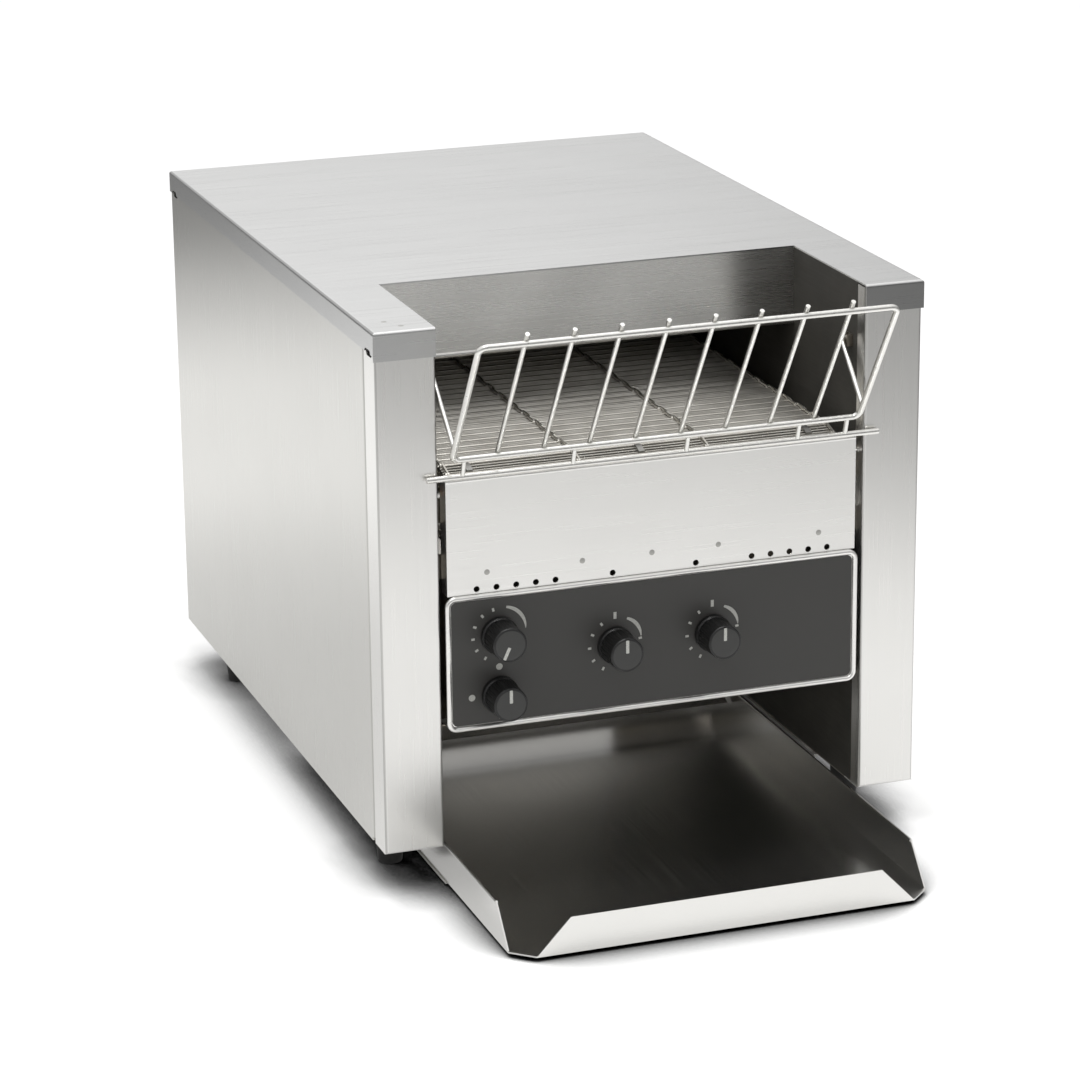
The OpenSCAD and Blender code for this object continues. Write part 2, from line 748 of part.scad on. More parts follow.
// Control fascia: a plate inside a raised round bead, with top and bottom returns
module control_fascia() {
  mid_z = fascia_z + fascia_h / 2;
  w = 2 * fascia_half;
  color("gainsboro") placed() difference() {
    union() {
      translate([0, sheet, mid_z]) rotate([90, 0, 0]) linear_extrude(sheet) {
        round_rect(w - bead_d, fascia_h - bead_d, corner_r);
      }
      translate([0, 0, mid_z]) rotate([90, 0, 0]) {
        wire_frame(w - bead_d, fascia_h - bead_d, corner_r, bead_d);
      }
      block([-panel_half, 0, fascia_z + bead_r], [panel_half, pillar_inner + 8, fascia_z + bead_r + sheet]);
    }
    control_places() bar_y([0, -cut, 0], sheet + 2 * cut, spindle_d + 3.5);
  }
}

module at_speed() { translate([-left_dial_x, 0, speed_z]) children(); }
module at_mode() { translate([-left_dial_x, 0, mode_z]) children(); }
module at_top_heat() { translate([top_heat_x, 0, heat_z]) children(); }
module at_bottom_heat() { translate([bottom_heat_x, 0, heat_z]) children(); }

module control_places() {
  at_speed() children();
  at_mode() children();
  at_top_heat() children();
  at_bottom_heat() children();
}

// Dark graphic panel laid inside the fascia's bead
module control_overlay() {
  mid_z = fascia_z + fascia_h / 2;
  color("#3c3b39") placed() difference() {
    translate([0, 0, mid_z]) rotate([90, 0, 0]) linear_extrude(overlay_t) {
      round_rect(2 * (fascia_half - overlay_in), fascia_h - 2 * overlay_in, corner_r - 1.5);
    }
    control_places() bar_y([0, -cut - overlay_t, 0], overlay_t + 2 * cut, spindle_d + 3.5);
  }
}

// Heat shield under and behind the controls, from wall to wall
module control_shield() {
  color("darkgray") placed() {
    block([-tunnel, pillar_inner, fascia_z + bead_r - sheet], [tunnel, shield_y, fascia_z + bead_r]);
    block([-tunnel, shield_y - sheet, fascia_z + bead_r], [tunnel, shield_y, fascia_top - 2]);
    block([-tunnel, shield_y - 16, fascia_top - 2 - sheet], [tunnel, shield_y - sheet, fascia_top - 2]);
  }
}

// A rotary control behind the fascia: can, bush, nut and tags
module control_body(d, l) {
  difference() {
    union() {
      bar_y([0, sheet + 2, 0], l, d);
      bar_y([0, sheet, 0], 2, spindle_d + 6);
      bar_y([0, overlay_y, 0], sheet + 2 + overlay_t, spindle_d + 3.2);
      for (x = [-7, 0, 7]) {
        block([x - 2, sheet + 2 + l, -d * 0.3], [x + 2, sheet + 9 + l, -d * 0.3 + 0.8]);
      }
    }
    bar_y([0, overlay_y - cut, 0], spindle_in + cut - overlay_y + 0.5, spindle_d + run_fit);
  }
}

module speed_control() {
  color("steelblue") placed() at_speed() control_body(control_d * 0.8, control_l * 0.9);
}
module mode_switch() { color("beige") placed() at_mode() control_body(control_d, control_l + 8); }
module top_heat_control() { color("steelblue") placed() at_top_heat() control_body(control_d, control_l); }
module bottom_heat_control() {
  color("steelblue") placed() at_bottom_heat() control_body(control_d, control_l);
}

// A control's spindle, from inside the can into the knob
module spindle() { bar_y([0, knob_y - spindle_out, 0], spindle_in + spindle_out - knob_y, spindle_d); }

module speed_spindle() { color("lightgray") placed() at_speed() spindle(); }
module mode_spindle() { color("lightgray") placed() at_mode() spindle(); }
module top_heat_spindle() { color("lightgray") placed() at_top_heat() spindle(); }
module bottom_heat_spindle() { color("lightgray") placed() at_bottom_heat() spindle(); }

// A fluted knob with a collar, a tapered grip and a pointer groove from the rim to the middle
module knob(pointer) {
  r = knob_d / 2;
  face_r = r - 1;
  edge = 1.2;
  translate([0, knob_y, 0]) rotate([90, 0, 0]) difference() {
    rotate_extrude($fn = 96) polygon(concat(
      [[0, 0], [r, 0], [r, 3], [r - 0.7, 4.2]],
      [for (a = [0:15:90]) [face_r - edge + edge * cos(a), knob_h - edge + edge * sin(a)]],
      [[0, knob_h]]
    ));
    for (i = [0:23]) rotate(i * 15 + 7.5) translate([r - 0.1, 0, 5]) cylinder(h = knob_h, d = 2, $fn = 16);
    translate([0, 0, -cut]) cylinder(h = spindle_out + 0.5 + cut, d = spindle_d + run_fit);
    rotate(pointer) block([-0.8, 1, knob_h - 0.5], [0.8, r + cut, knob_h + cut]);
  }
}

module speed_knob() { color("#1e1e1e") placed() at_speed() knob(155); }
module mode_knob() { color("#1e1e1e") placed() at_mode() knob(0); }
module top_heat_knob() { color("#1e1e1e") placed() at_top_heat() knob(0); }
module bottom_heat_knob() { color("#1e1e1e") placed() at_bottom_heat() knob(0); }

// ---------------------------------------------------------------- conveyor

// Moves along-across drawing to the belt's plane: X of the drawing runs to the back, Y runs up
module in_belt_plane() { translate([0, front_shaft_y, belt_z]) rotate([90, 0, 90]) children(); }

// Cross rods of the belt, one at each point of the loop
module belt_rods() {
  color("#8a857c") placed() in_belt_plane() for (k = [0:belt_count - 1]) {
    p = belt_point(k);
    translate([p[0], p[1], -belt_w / 2]) cylinder(h = belt_w, d = belt_wire);
  }
}

// Rows of wire links that tie each rod to the next, set to and fro so that neighbours pass
module belt_links() {
  step = (belt_w - 4 * link_wire) / (link_rows - 1);
  color("#8a857c") placed() in_belt_plane() for (k = [0:belt_count - 1]) {
    p = belt_point(k);
    n = belt_point(k + 1);
    side = (k % 2) * 2 - 1;
    translate([(p[0] + n[0]) / 2, (p[1] + n[1]) / 2, 0]) rotate(atan2(n[1] - p[1], n[0] - p[0])) {
      for (i = [0:link_rows - 1]) {
        translate([0, 0, (i - (link_rows - 1) / 2) * step + side * link_wire * 0.6]) belt_link();
      }
    }
  }
}

// One wire link round two rods, flat in the XY plane
module belt_link() {
  eye = belt_wire + run_fit;
  linear_extrude(link_wire, center = true) difference() {
    slot_2d(belt_pitch + eye + 2 * link_wire, eye + 2 * link_wire);
    slot_2d(belt_pitch + eye, eye);
  }
}

// A shaft through both bushes
module conveyor_shaft(y, right_end) {
  bar_x([-shaft_end, y, belt_z], shaft_end + right_end, shaft_d);
}

// Belt sprockets with hubs on one shaft
module belt_sprockets(y) {
  for (i = [0:sprockets - 1]) {
    x = -sprocket_x + i * 2 * sprocket_x / (sprockets - 1);
    translate([x, y, belt_z]) rotate([90, 0, 90]) difference() {
      union() {
        toothed_wheel(belt_teeth, belt_r, belt_wire, sprocket_t);
        cylinder(h = 14, d = hub_d, center = true);
      }
      cylinder(h = 20, d = shaft_d + run_fit, center = true);
      for (a = [0:60:300]) rotate(a + 15) translate([(belt_r + hub_d / 2) / 2 - 1, 0, 0]) {
        cylinder(h = 20, d = (belt_r - hub_d / 2) * 0.45, center = true);
      }
    }
  }
}

module idler_shaft() { color("lightgray") placed() conveyor_shaft(front_shaft_y, shaft_end); }
module drive_shaft() { color("lightgray") placed() conveyor_shaft(rear_shaft_y, chain_end); }
module idler_sprockets() { color("gray") placed() belt_sprockets(front_shaft_y); }
module drive_sprockets() { color("gray") placed() belt_sprockets(rear_shaft_y); }

// Flanged bushes pressed into the tunnel walls from outside
module shaft_bushes() {
  color("peru") placed() both_sides() for (y = [front_shaft_y, rear_shaft_y]) difference() {
    union() {
      bar_x([tunnel - 2, y, belt_z], sheet + 2 + bush_flange_t, bush_d);
      bar_x([tunnel + sheet, y, belt_z], bush_flange_t, bush_flange_d);
    }
    bar_x([tunnel - 2 - cut, y, belt_z], sheet + 2 + bush_flange_t + 2 * cut, shaft_d + run_fit);
  }
}

// A chain sprocket with a hub on its inner side
module chain_sprocket(bore) {
  difference() {
    union() {
      toothed_wheel(chain_teeth, chain_r, roller_d, chain_wheel_t);
      translate([0, 0, -8]) cylinder(h = 8, d = bore + 8);
    }
    cylinder(h = 30, d = bore + run_fit, center = true);
  }
}

// Moves a drawing to the chain's plane at a shaft: X of the drawing runs to the back, Y runs up
module in_chain_plane(z) { translate([chain_x, rear_shaft_y, z]) rotate([90, 0, 90]) children(); }

module chain_wheel() { color("gray") placed() in_chain_plane(belt_z) chain_sprocket(shaft_d); }
module motor_sprocket() { color("gray") placed() in_chain_plane(motor_z) chain_sprocket(motor_shaft_d); }

module motor_shaft() {
  x0 = tunnel - motor_shaft_in;
  color("lightgray") placed() bar_x([x0, rear_shaft_y, motor_z], chain_end - x0, motor_shaft_d);
}

// Roller chain: rollers on pins between two scalloped plates
module drive_chain() {
  count = 2 * chain_runs + chain_teeth;
  l = roller_w + 2 * plate_t;
  color("dimgray") placed() in_chain_plane(motor_z) rotate(90) {
    for (k = [0:count - 1]) {
      p = loop_point(k, chain_runs, chain_teeth, chain_pitch, chain_r);
      translate([p[0], p[1], -l / 2]) cylinder(h = l, d = roller_d, $fn = 16);
    }
    for (s = [0, 1]) translate([0, 0, s ? roller_w / 2 : -roller_w / 2 - plate_t]) linear_extrude(plate_t) {
      difference() {
        chain_outline(chain_r + roller_d * 0.62);
        chain_outline(chain_r - roller_d * 0.62);
      }
    }
  }
}

// Stadium outline round both chain sprockets
module chain_outline(r) {
  circle(r, $fn = 96);
  translate([0, -r]) square([chain_len, 2 * r]);
  translate([chain_len, 0]) circle(r, $fn = 96);
}

// Gearbox on the right tunnel wall, with the motor's can and its rear boss
module gear_motor() {
  can_z = motor_z - 13;                 // the motor's axis, below the output shaft
  can_x = tunnel - gearbox[0];
  can_l = 60;
  bore_x = tunnel - motor_shaft_in - touch;
  color("slategray") placed() difference() {
    union() {
      block([can_x, rear_shaft_y - gearbox[1] / 2, motor_z - gearbox[2] + 13],
            [tunnel, rear_shaft_y + gearbox[1] / 2, motor_z + 13]);
      bar_x([tunnel, rear_shaft_y, motor_z], sheet + 2, motor_shaft_d + 9);
      bar_x([can_x - can_l, rear_shaft_y, can_z], can_l, 42);
      bar_x([can_x - can_l - 5, rear_shaft_y, can_z], 5, 16);
    }
    bar_x([bore_x, rear_shaft_y, motor_z], tunnel + 15 - bore_x, motor_shaft_d + run_fit);
  }
}

// ---------------------------------------------------------------- heating

module tube_bank(y0, step, z) {
  for (i = [0:tubes - 1]) bar_x([-tube_end, y0 + i * step, z], 2 * tube_end, tube_d);
}

module upper_tubes() { color("#d8d2c4") placed() tube_bank(upper_tube_y0, upper_tube_step, upper_tube_z); }
module lower_tubes() { color("#d8d2c4") placed() tube_bank(lower_tube_y0, lower_tube_step, lower_tube_z); }

// Ceramic end caps with their terminal studs, outside the tunnel walls
module tube_caps() {
  color("ivory") placed() both_sides() tube_places() difference() {
    union() {
      bar_x([tunnel + sheet, 0, 0], cap_l, cap_d);
      bar_x([tunnel + sheet + cap_l, 0, 0], 4, 3);
    }
    bar_x([tunnel + sheet - cut, 0, 0], cap_l - 3 + cut, tube_d + run_fit);
  }
}

// Folded reflector over the upper tubes
module upper_reflector() {
  y0 = notch_d + sheet;
  y1 = rear_shaft_y - reflector_in;
  color("silver") placed() {
    block([-tunnel, y0, reflector_z], [tunnel, y1, reflector_z + sheet]);
    block([-tunnel, y1 - sheet, hood_z], [tunnel, y1, reflector_z]);
    both_sides() {
      block([tunnel - sheet, y0, reflector_z - reflector_lip], [tunnel, y1 - sheet, reflector_z]);
    }
  }
}

// Tray-shaped reflector between the belt's two runs
module lower_reflector() {
  y0 = lower_tube_y0 - 18;
  y1 = rear_shaft_y - belt_r - 30;
  z0 = lower_tube_z - tube_d / 2 - 5;
  color("silver") placed() {
    block([-tunnel, y0, z0 - sheet], [tunnel, y1, z0]);
    for (y = [y0, y1 - sheet]) block([-tunnel, y, z0], [tunnel, y + sheet, z0 + 10]);
  }
}

// Fibre blanket between the upper reflector and the cover
module upper_insulation() {
  color("whitesmoke") placed() {
    block([-tunnel, notch_d + hood_flange + 2, reflector_z + sheet],
          [tunnel, rear_shaft_y - reflector_in - 2, under_top - 4]);
  }
}

// ---------------------------------------------------------------- slide and tray

// One sheet that falls from the belt's rear end, bends forward and slopes down to the tray,
// with its lower corners cut back to run between the tray's side flanges
module return_slide() {
  low = [slide_end_y, slide_end_z];
  under = sheet * [sin(slide_angle), -cos(slide_angle)];
  color("silver") placed() difference() {
    along_x(-tunnel, 2 * tunnel) polygon(concat(
      [low],
      slide_bend(slide_r, 0, bend_steps),
      [[slide_back_y, slide_top_z], [slide_back_y + sheet, slide_top_z]],
      slide_bend(slide_r + sheet, bend_steps, 0),
      [low + under]
    ));
    both_sides() {
      block([slide_low_half, slide_end_y - cut, slide_end_z - 2 * sheet],
            [tunnel + cut, bend_y, tray_top + 2]);
    }
  }
}

// Points of the slide's rear bend, from the slope at step 0 up to the wall at the last step
function slide_bend(r, from, to) = [
  for (i = [from:(to > from ? 1 : -1):to])
    let (a = (slide_angle - 90) * (1 - i / bend_steps)) [bend_y + r * cos(a), bend_z + r * sin(a)]
];

// Pull-out tray with hemmed side flanges, a mitred front lip, cut front corners and a low rear lip
module discharge_tray() {
  hem_x = tray_half - tray_sheet / 2;
  hem_y0 = -tray_out + tray_cut_y + tray_slant;
  y_side = -tray_out + tray_cut_y;
  x_front = tray_half - tray_cut_x;
  color("silver") placed() {
    translate([0, 0, tray_z]) linear_extrude(tray_sheet) polygon([
      [-tray_half, tray_in], [-tray_half, y_side], [-x_front, -tray_out],
      [x_front, -tray_out], [tray_half, y_side], [tray_half, tray_in]
    ]);
    both_sides() along_x(tray_half - tray_sheet, tray_sheet) polygon([
      [tray_in, tray_z], [y_side, tray_z], [y_side + tray_slant, tray_top], [tray_in, tray_top]
    ]);
    both_sides() bar_y([hem_x, hem_y0, tray_top - tray_hem_d / 2], tray_in - hem_y0, tray_hem_d);
    translate([0, -tray_out + tray_sheet, 0]) rotate([90, 0, 0]) linear_extrude(tray_sheet) polygon([
      [-x_front, tray_z], [x_front, tray_z],
      [x_front - tray_slant, tray_top - 2], [-x_front + tray_slant, tray_top - 2]
    ]);
    block([-tray_half, tray_in - tray_sheet, tray_z], [tray_half, tray_in, tray_z + 9]);
  }
}

// Folded guides under the cabinet that carry the tray's edges, their lips reaching to the front
module tray_guides() {
  lip_top = tray_z - touch;
  y0 = 6;
  y1 = tray_in + 8;
  color("darkgray") placed() both_sides() {
    block([tray_half + 1, guide_web_y, lip_top - 1], [tray_half + 2, y1, 0]);
    block([tray_half + 1, guide_web_y, -1], [tunnel + 3, y1, 0]);
    block([tray_half - 9, y0, lip_top - 1], [tray_half + 1, y1, lip_top]);
  }
}

// ---------------------------------------------------------------- wire rack

// Moves a flat drawing to the rack's leaning plane, its foot on the sill rod
module in_rack_plane() { translate([0, sill_y, sill_z]) rotate([90 + rack_lean, 0, 0]) children(); }

// Lift-off loading rack: leaning frame, uprights, lower rod with its ties and side arms
module wire_rack() {
  step = 2 * rack_half / (rack_uprights + 1);
  weld = (rack_wire + rack_thin_wire) / 2 - 0.5;
  x_end = rack_half - rack_corner - 3;
  color("gainsboro") placed() {
    in_rack_plane() {
      translate([0, rack_len / 2, 0]) wire_frame(2 * rack_half, rack_len, rack_corner, rack_wire);
      for (i = [1:rack_uprights]) {
        bar_y([-rack_half + i * step, -1, -weld], rack_len + rack_tip + 1, rack_thin_wire);
      }
    }
    bar_x([-tunnel - rack_reach, rod_y, rod_z], 2 * (tunnel + rack_reach), rack_wire);
    for (i = rack_ties) bar([i * step, rod_y, rod_z], [i * step, sill_y, sill_z], rack_thin_wire);
    both_sides() {
      bar([x_end, sill_y, sill_z], [x_end, rod_y, rod_z], rack_thin_wire);
      rack_arm();
    }
  }
}

// Side arm: from the end wire back and up beside the tunnel wall, with its tip in the clip
module rack_arm() {
  foot = [rack_half, sill_y - arm_foot * sin(rack_lean), sill_z + arm_foot * cos(rack_lean)];
  knee = [tunnel - 6, arm_y, arm_z];
  bar(foot, knee, rack_thin_wire);
  translate(knee) sphere(d = rack_thin_wire + 0.4);
  bar_x(knee, 6 - clip_gap, rack_thin_wire);
}

// Upward-open clips on the tunnel walls that the rack's arms drop into
module rack_clips() {
  slot = rack_thin_wire + 2 * touch;
  color("darkgray") placed() both_sides() difference() {
    block([tunnel - 4, arm_y - slot / 2 - 3, arm_z - rack_thin_wire / 2 - touch - 3],
          [tunnel, arm_y + slot / 2 + 3, arm_z + 3]);
    block([tunnel - 4 - cut, arm_y - slot / 2, arm_z - rack_thin_wire / 2 - touch],
          [tunnel - clip_gap + 0.3, arm_y + slot / 2, arm_z + 3 + cut]);
  }
}

// ---------------------------------------------------------------- fan and electrics

// Axial fan frame on the base pan, with its motor boss and struts
module fan_frame() {
  color("#2a2a2a") placed() translate([fan_x, fan_y, sheet]) {
    difference() {
      linear_extrude(fan_t) round_rect(fan_side, fan_side, 5);
      translate([0, 0, -cut]) cylinder(h = fan_t + 2 * cut, d = fan_bore, $fn = 96);
    }
    cylinder(h = 3, d = rotor_hub);
    for (a = [0:90:270]) rotate(a + 45) block([rotor_hub / 2 - 2, -2, 0], [fan_bore / 2 + 1, 2, 3]);
    cylinder(h = fan_t - 3, d = 5);
  }
}

// Fan rotor: hub and seven pitched blades
module fan_rotor() {
  r = fan_bore / 2 - 1.5;
  color("#3a3a3a") placed() translate([fan_x, fan_y, sheet + 4]) difference() {
    union() {
      cylinder(h = fan_t - 6, d = rotor_hub);
      for (i = [0:6]) rotate(i * 360 / 7) intersection() {
        translate([rotor_hub / 2 - 2, 0, (fan_t - 6) / 2]) rotate([38, 0, 0]) {
          block([0, -13, -0.8], [r, 13, 0.8]);
        }
        cylinder(h = fan_t - 6, r = r, $fn = 96);
      }
    }
    translate([0, 0, -cut]) cylinder(h = fan_t - 6, d = 5 + run_fit);
  }
}

// Stamped finger guard under the base pan: rings and a cross
module fan_guard() {
  bar_w = 2;
  color("lightgray") placed() translate([fan_x, fan_y, -1.5]) linear_extrude(1.5) {
    for (r = [12:9:fan_bore / 2]) difference() {
      circle(r + bar_w / 2, $fn = 96);
      circle(r - bar_w / 2, $fn = 96);
    }
    for (a = [45, 135]) rotate(a) slot_2d(fan_bore + 16, bar_w + 1);
  }
}

// Speed controller board on spacers, on the left tunnel wall, with its relay and capacitor
module speed_board() {
  x1 = -tunnel - sheet;
  board = [1.6, 100, 70];
  spacer = 6;
  color("darkgreen") placed() translate([x1, board_y, board_z]) {
    block([-spacer - board[0], 0, 0], [-spacer, board[1], board[2]]);
    for (y = [6, board[1] - 6], z = [6, board[2] - 6]) bar_x([-spacer, y, z], spacer, spacer);
    block([-spacer - board[0] - 14, 10, 10], [-spacer - board[0], 32, 36]);
    bar_x([-spacer - board[0] - 20, 60, 40], 20, 16);
  }
}

// Terminal block on the base pan, between the rear foot's nut and the gland
module terminal_block() {
  y0 = body_d - foot_inset + foot_nut_d / 2 + 2;
  pole = 12;
  color("beige") placed() difference() {
    block([strip_mid - 8, y0, sheet], [strip_mid + 8, y0 + 3 * pole, sheet + 18]);
    for (i = [0:2]) bar_z([strip_mid, y0 + (i + 0.5) * pole, sheet + 10], 10, 5);
  }
}

base_pan();
left_side_panel();
right_side_panel();
left_pillar();
right_pillar();
top_cover();
case_screws();
hood_wall();
left_liner();
right_liner();
rear_panel();
rear_cowl();
cord_gland();
feet();
foot_screws();
front_panel();
panel_brackets();
control_fascia();
control_overlay();
control_shield();
speed_control();
mode_switch();
top_heat_control();
bottom_heat_control();
speed_spindle();
mode_spindle();
top_heat_spindle();
bottom_heat_spindle();
speed_knob();
mode_knob();
top_heat_knob();
bottom_heat_knob();
belt_rods();
belt_links();
idler_shaft();
idler_sprockets();
drive_shaft();
drive_sprockets();
shaft_bushes();
chain_wheel();
drive_chain();
motor_sprocket();
motor_shaft();
gear_motor();
upper_tubes();
lower_tubes();
tube_caps();
upper_reflector();
lower_reflector();
upper_insulation();
return_slide();
discharge_tray();
tray_guides();
wire_rack();
rack_clips();
fan_frame();
fan_rotor();
fan_guard();
speed_board();
terminal_block();
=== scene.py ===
"""Conveyor toaster: finishes, fitted small pieces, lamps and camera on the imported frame.

X runs to the right, Y to the back and Z up. Lengths are metres, and a name that ends in _mm is
in millimetres. Every finish is procedural and reads Object coordinates.
"""

import logging
import math
from dataclasses import dataclass, field
from enum import Enum
from typing import ClassVar

import bpy
import numpy as np
from mathutils import Matrix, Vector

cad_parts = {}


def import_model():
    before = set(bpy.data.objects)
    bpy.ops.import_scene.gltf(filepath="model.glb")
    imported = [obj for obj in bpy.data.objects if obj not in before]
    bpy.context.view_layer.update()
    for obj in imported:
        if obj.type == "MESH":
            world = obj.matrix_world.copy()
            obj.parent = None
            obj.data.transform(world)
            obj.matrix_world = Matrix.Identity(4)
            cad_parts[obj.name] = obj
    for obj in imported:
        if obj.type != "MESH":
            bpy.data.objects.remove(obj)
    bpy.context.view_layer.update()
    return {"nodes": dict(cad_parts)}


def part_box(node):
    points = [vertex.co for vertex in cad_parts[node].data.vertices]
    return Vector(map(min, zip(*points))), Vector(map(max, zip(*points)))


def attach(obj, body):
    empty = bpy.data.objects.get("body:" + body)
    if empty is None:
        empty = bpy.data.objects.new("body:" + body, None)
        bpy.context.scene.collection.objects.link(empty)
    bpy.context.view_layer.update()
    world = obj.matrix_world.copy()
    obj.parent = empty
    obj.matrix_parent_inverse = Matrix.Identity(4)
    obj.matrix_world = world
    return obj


LOG = logging.getLogger("toaster")
MM = 0.001
OUT = np.array([0.0, -1.0, 0.0])  # the way that the front faces
WHITE = (1.0, 1.0, 1.0, 1.0)
BLACK = (0.0, 0.0, 0.0, 1.0)

Socket = bpy.types.NodeSocket
Colour = tuple[float, float, float, float]
Point = tuple[float, float, float]
Pair = tuple[float, float]
Stops = tuple[Pair, ...]
Feed = Socket | float | Point | Colour
More = tuple[tuple[str, Feed], ...]
Array = np.ndarray
Faces = list[tuple[int, ...]]
Shell = tuple[Array, Faces]


# -------- colours and nodes


def srgb(code: str) -> Colour:
    """Turns an sRGB hex code, six digits after a #, into a linear colour."""
    parts = (int(code[i : i + 2], 16) / 255 for i in (1, 3, 5))
    r, g, b = (c / 12.92 if c <= 0.04045 else ((c + 0.055) / 1.055) ** 2.4 for c in parts)
    return (r, g, b, 1.0)


class Grain(Enum):
    """The way that a sheet's brushed lines run, a little off the axis.

    The slant gives a folded edge that faces along the grain a direction of its own.
    """

    SIDEWAYS = (1.0, 0.05, 0.03)
    LENGTHWISE = (0.05, 1.0, 0.03)
    UPRIGHT = (0.03, 0.05, 1.0)


@dataclass
class Graph:
    """A shader's node tree. Most methods add nodes to it and return the socket that comes out."""

    tree: bpy.types.NodeTree

    def feed(self, node: bpy.types.Node, inputs: dict) -> None:
        """Fills or links a node's inputs.

        Args:
            node: The node.
            inputs: Input name or number to a value, or to the output socket that feeds it.
        """
        for key, value in inputs.items():
            if isinstance(value, Socket):
                self.tree.links.new(value, node.inputs[key])
            else:
                node.inputs[key].default_value = value

    def node(self, kind: str, inputs: dict | None = None, **settings) -> bpy.types.Node:
        """Adds one node.

        Args:
            kind: Blender's name of the node type, without ShaderNode in front.
            inputs: Its inputs, as feed takes them.
            **settings: The node's own properties.

        Returns:
            The new node.
        """
        made = self.tree.nodes.new(f"ShaderNode{kind}")
        for name, value in settings.items():
            setattr(made, name, value)
        self.feed(made, inputs or {})
        return made

    def math(self, operation: str, first: Feed, second: Feed) -> Socket:
        """Joins two values, such as by MULTIPLY."""
        return self.node("Math", {0: first, 1: second}, operation=operation).outputs[0]

    def mix(self, share: Feed, first: Feed, second: Feed, way: str = "MIX") -> Socket:
        """Blends two colours by the share of the second, in one of Blender's ways."""
        blend = {0: share, 6: first, 7: second}
        return self.node("Mix", blend, data_type="RGBA", blend_type=way).outputs[2]

    def span(
        self, value: Socket, start: float, end: float, low: float = 0.0, high: Feed = 1.0
    ) -> Socket:
        """Maps a value between start and end on low and high, and holds it beyond them."""
        ends = {"From Min": start, "From Max": end, "To Min": low, "To Max": high}
        return self.node("MapRange", {"Value": value} | ends).outputs["Result"]

    def spread(self, noise: Socket, low: float, high: float) -> Socket:
        """Maps the middle of a noise on a range, since noise seldom leaves 0.3 to 0.7."""
        return self.span(noise, 0.3, 0.7, low, high)

    def ramp(self, value: Socket, stops: Stops) -> Socket:
        """Maps a value on a line of grey levels.

        Args:
            value: What the ramp reads, from 0 to 1.
            stops: Rising places with their levels.

        Returns:
            The ramp's level.
        """
        made = self.node("ValToRGB", {"Fac": value})
        elements = made.color_ramp.elements
        elements[0].position, elements[-1].position = stops[0][0], stops[-1][0]
        for place, _ in stops[1:-1]:
            elements.new(place)
        for element, (_, level) in zip(elements, stops):
            element.color = (level, level, level, 1)
        return made.outputs["Color"]

    def at(self, kind: str = "Object") -> Socket:
        """Returns the shaded point in Object coordinates, or another texture coordinate."""
        return self.node("TexCoord").outputs[kind]

    def axis(self, way: Socket, name: str) -> Socket:
        """Returns one coordinate of a vector: X, Y or Z."""
        return self.node("SeparateXYZ", {0: way}).outputs[name]

    def clouds(self, size_mm: float, detail: float = 3.0) -> Socket:
        """Adds even noise from 0 to 1 about 0.5: blotches of a size, and octaves in them."""
        inputs = {"Vector": self.at(), "Scale": 1 / (size_mm * MM), "Detail": detail}
        return self.node("TexNoise", inputs).outputs["Fac"]

    def streaks(self, grain: Grain, long_mm: float, wide_mm: float) -> Socket:
        """Adds noise from 0 to 1 about 0.5 that is drawn out to lines.

        Args:
            grain: The way that the lines run.
            long_mm: Length of a line.
            wide_mm: Width of a line.

        Returns:
            The noise.
        """
        scale = tuple(1 / ((long_mm if a == 1.0 else wide_mm) * MM) for a in grain.value)
        drawn = self.node("Mapping", {"Vector": self.at(), "Scale": scale}).outputs["Vector"]
        return self.node("TexNoise", {"Vector": drawn, "Scale": 1.0, "Detail": 2.0}).outputs["Fac"]


# -------- finishes


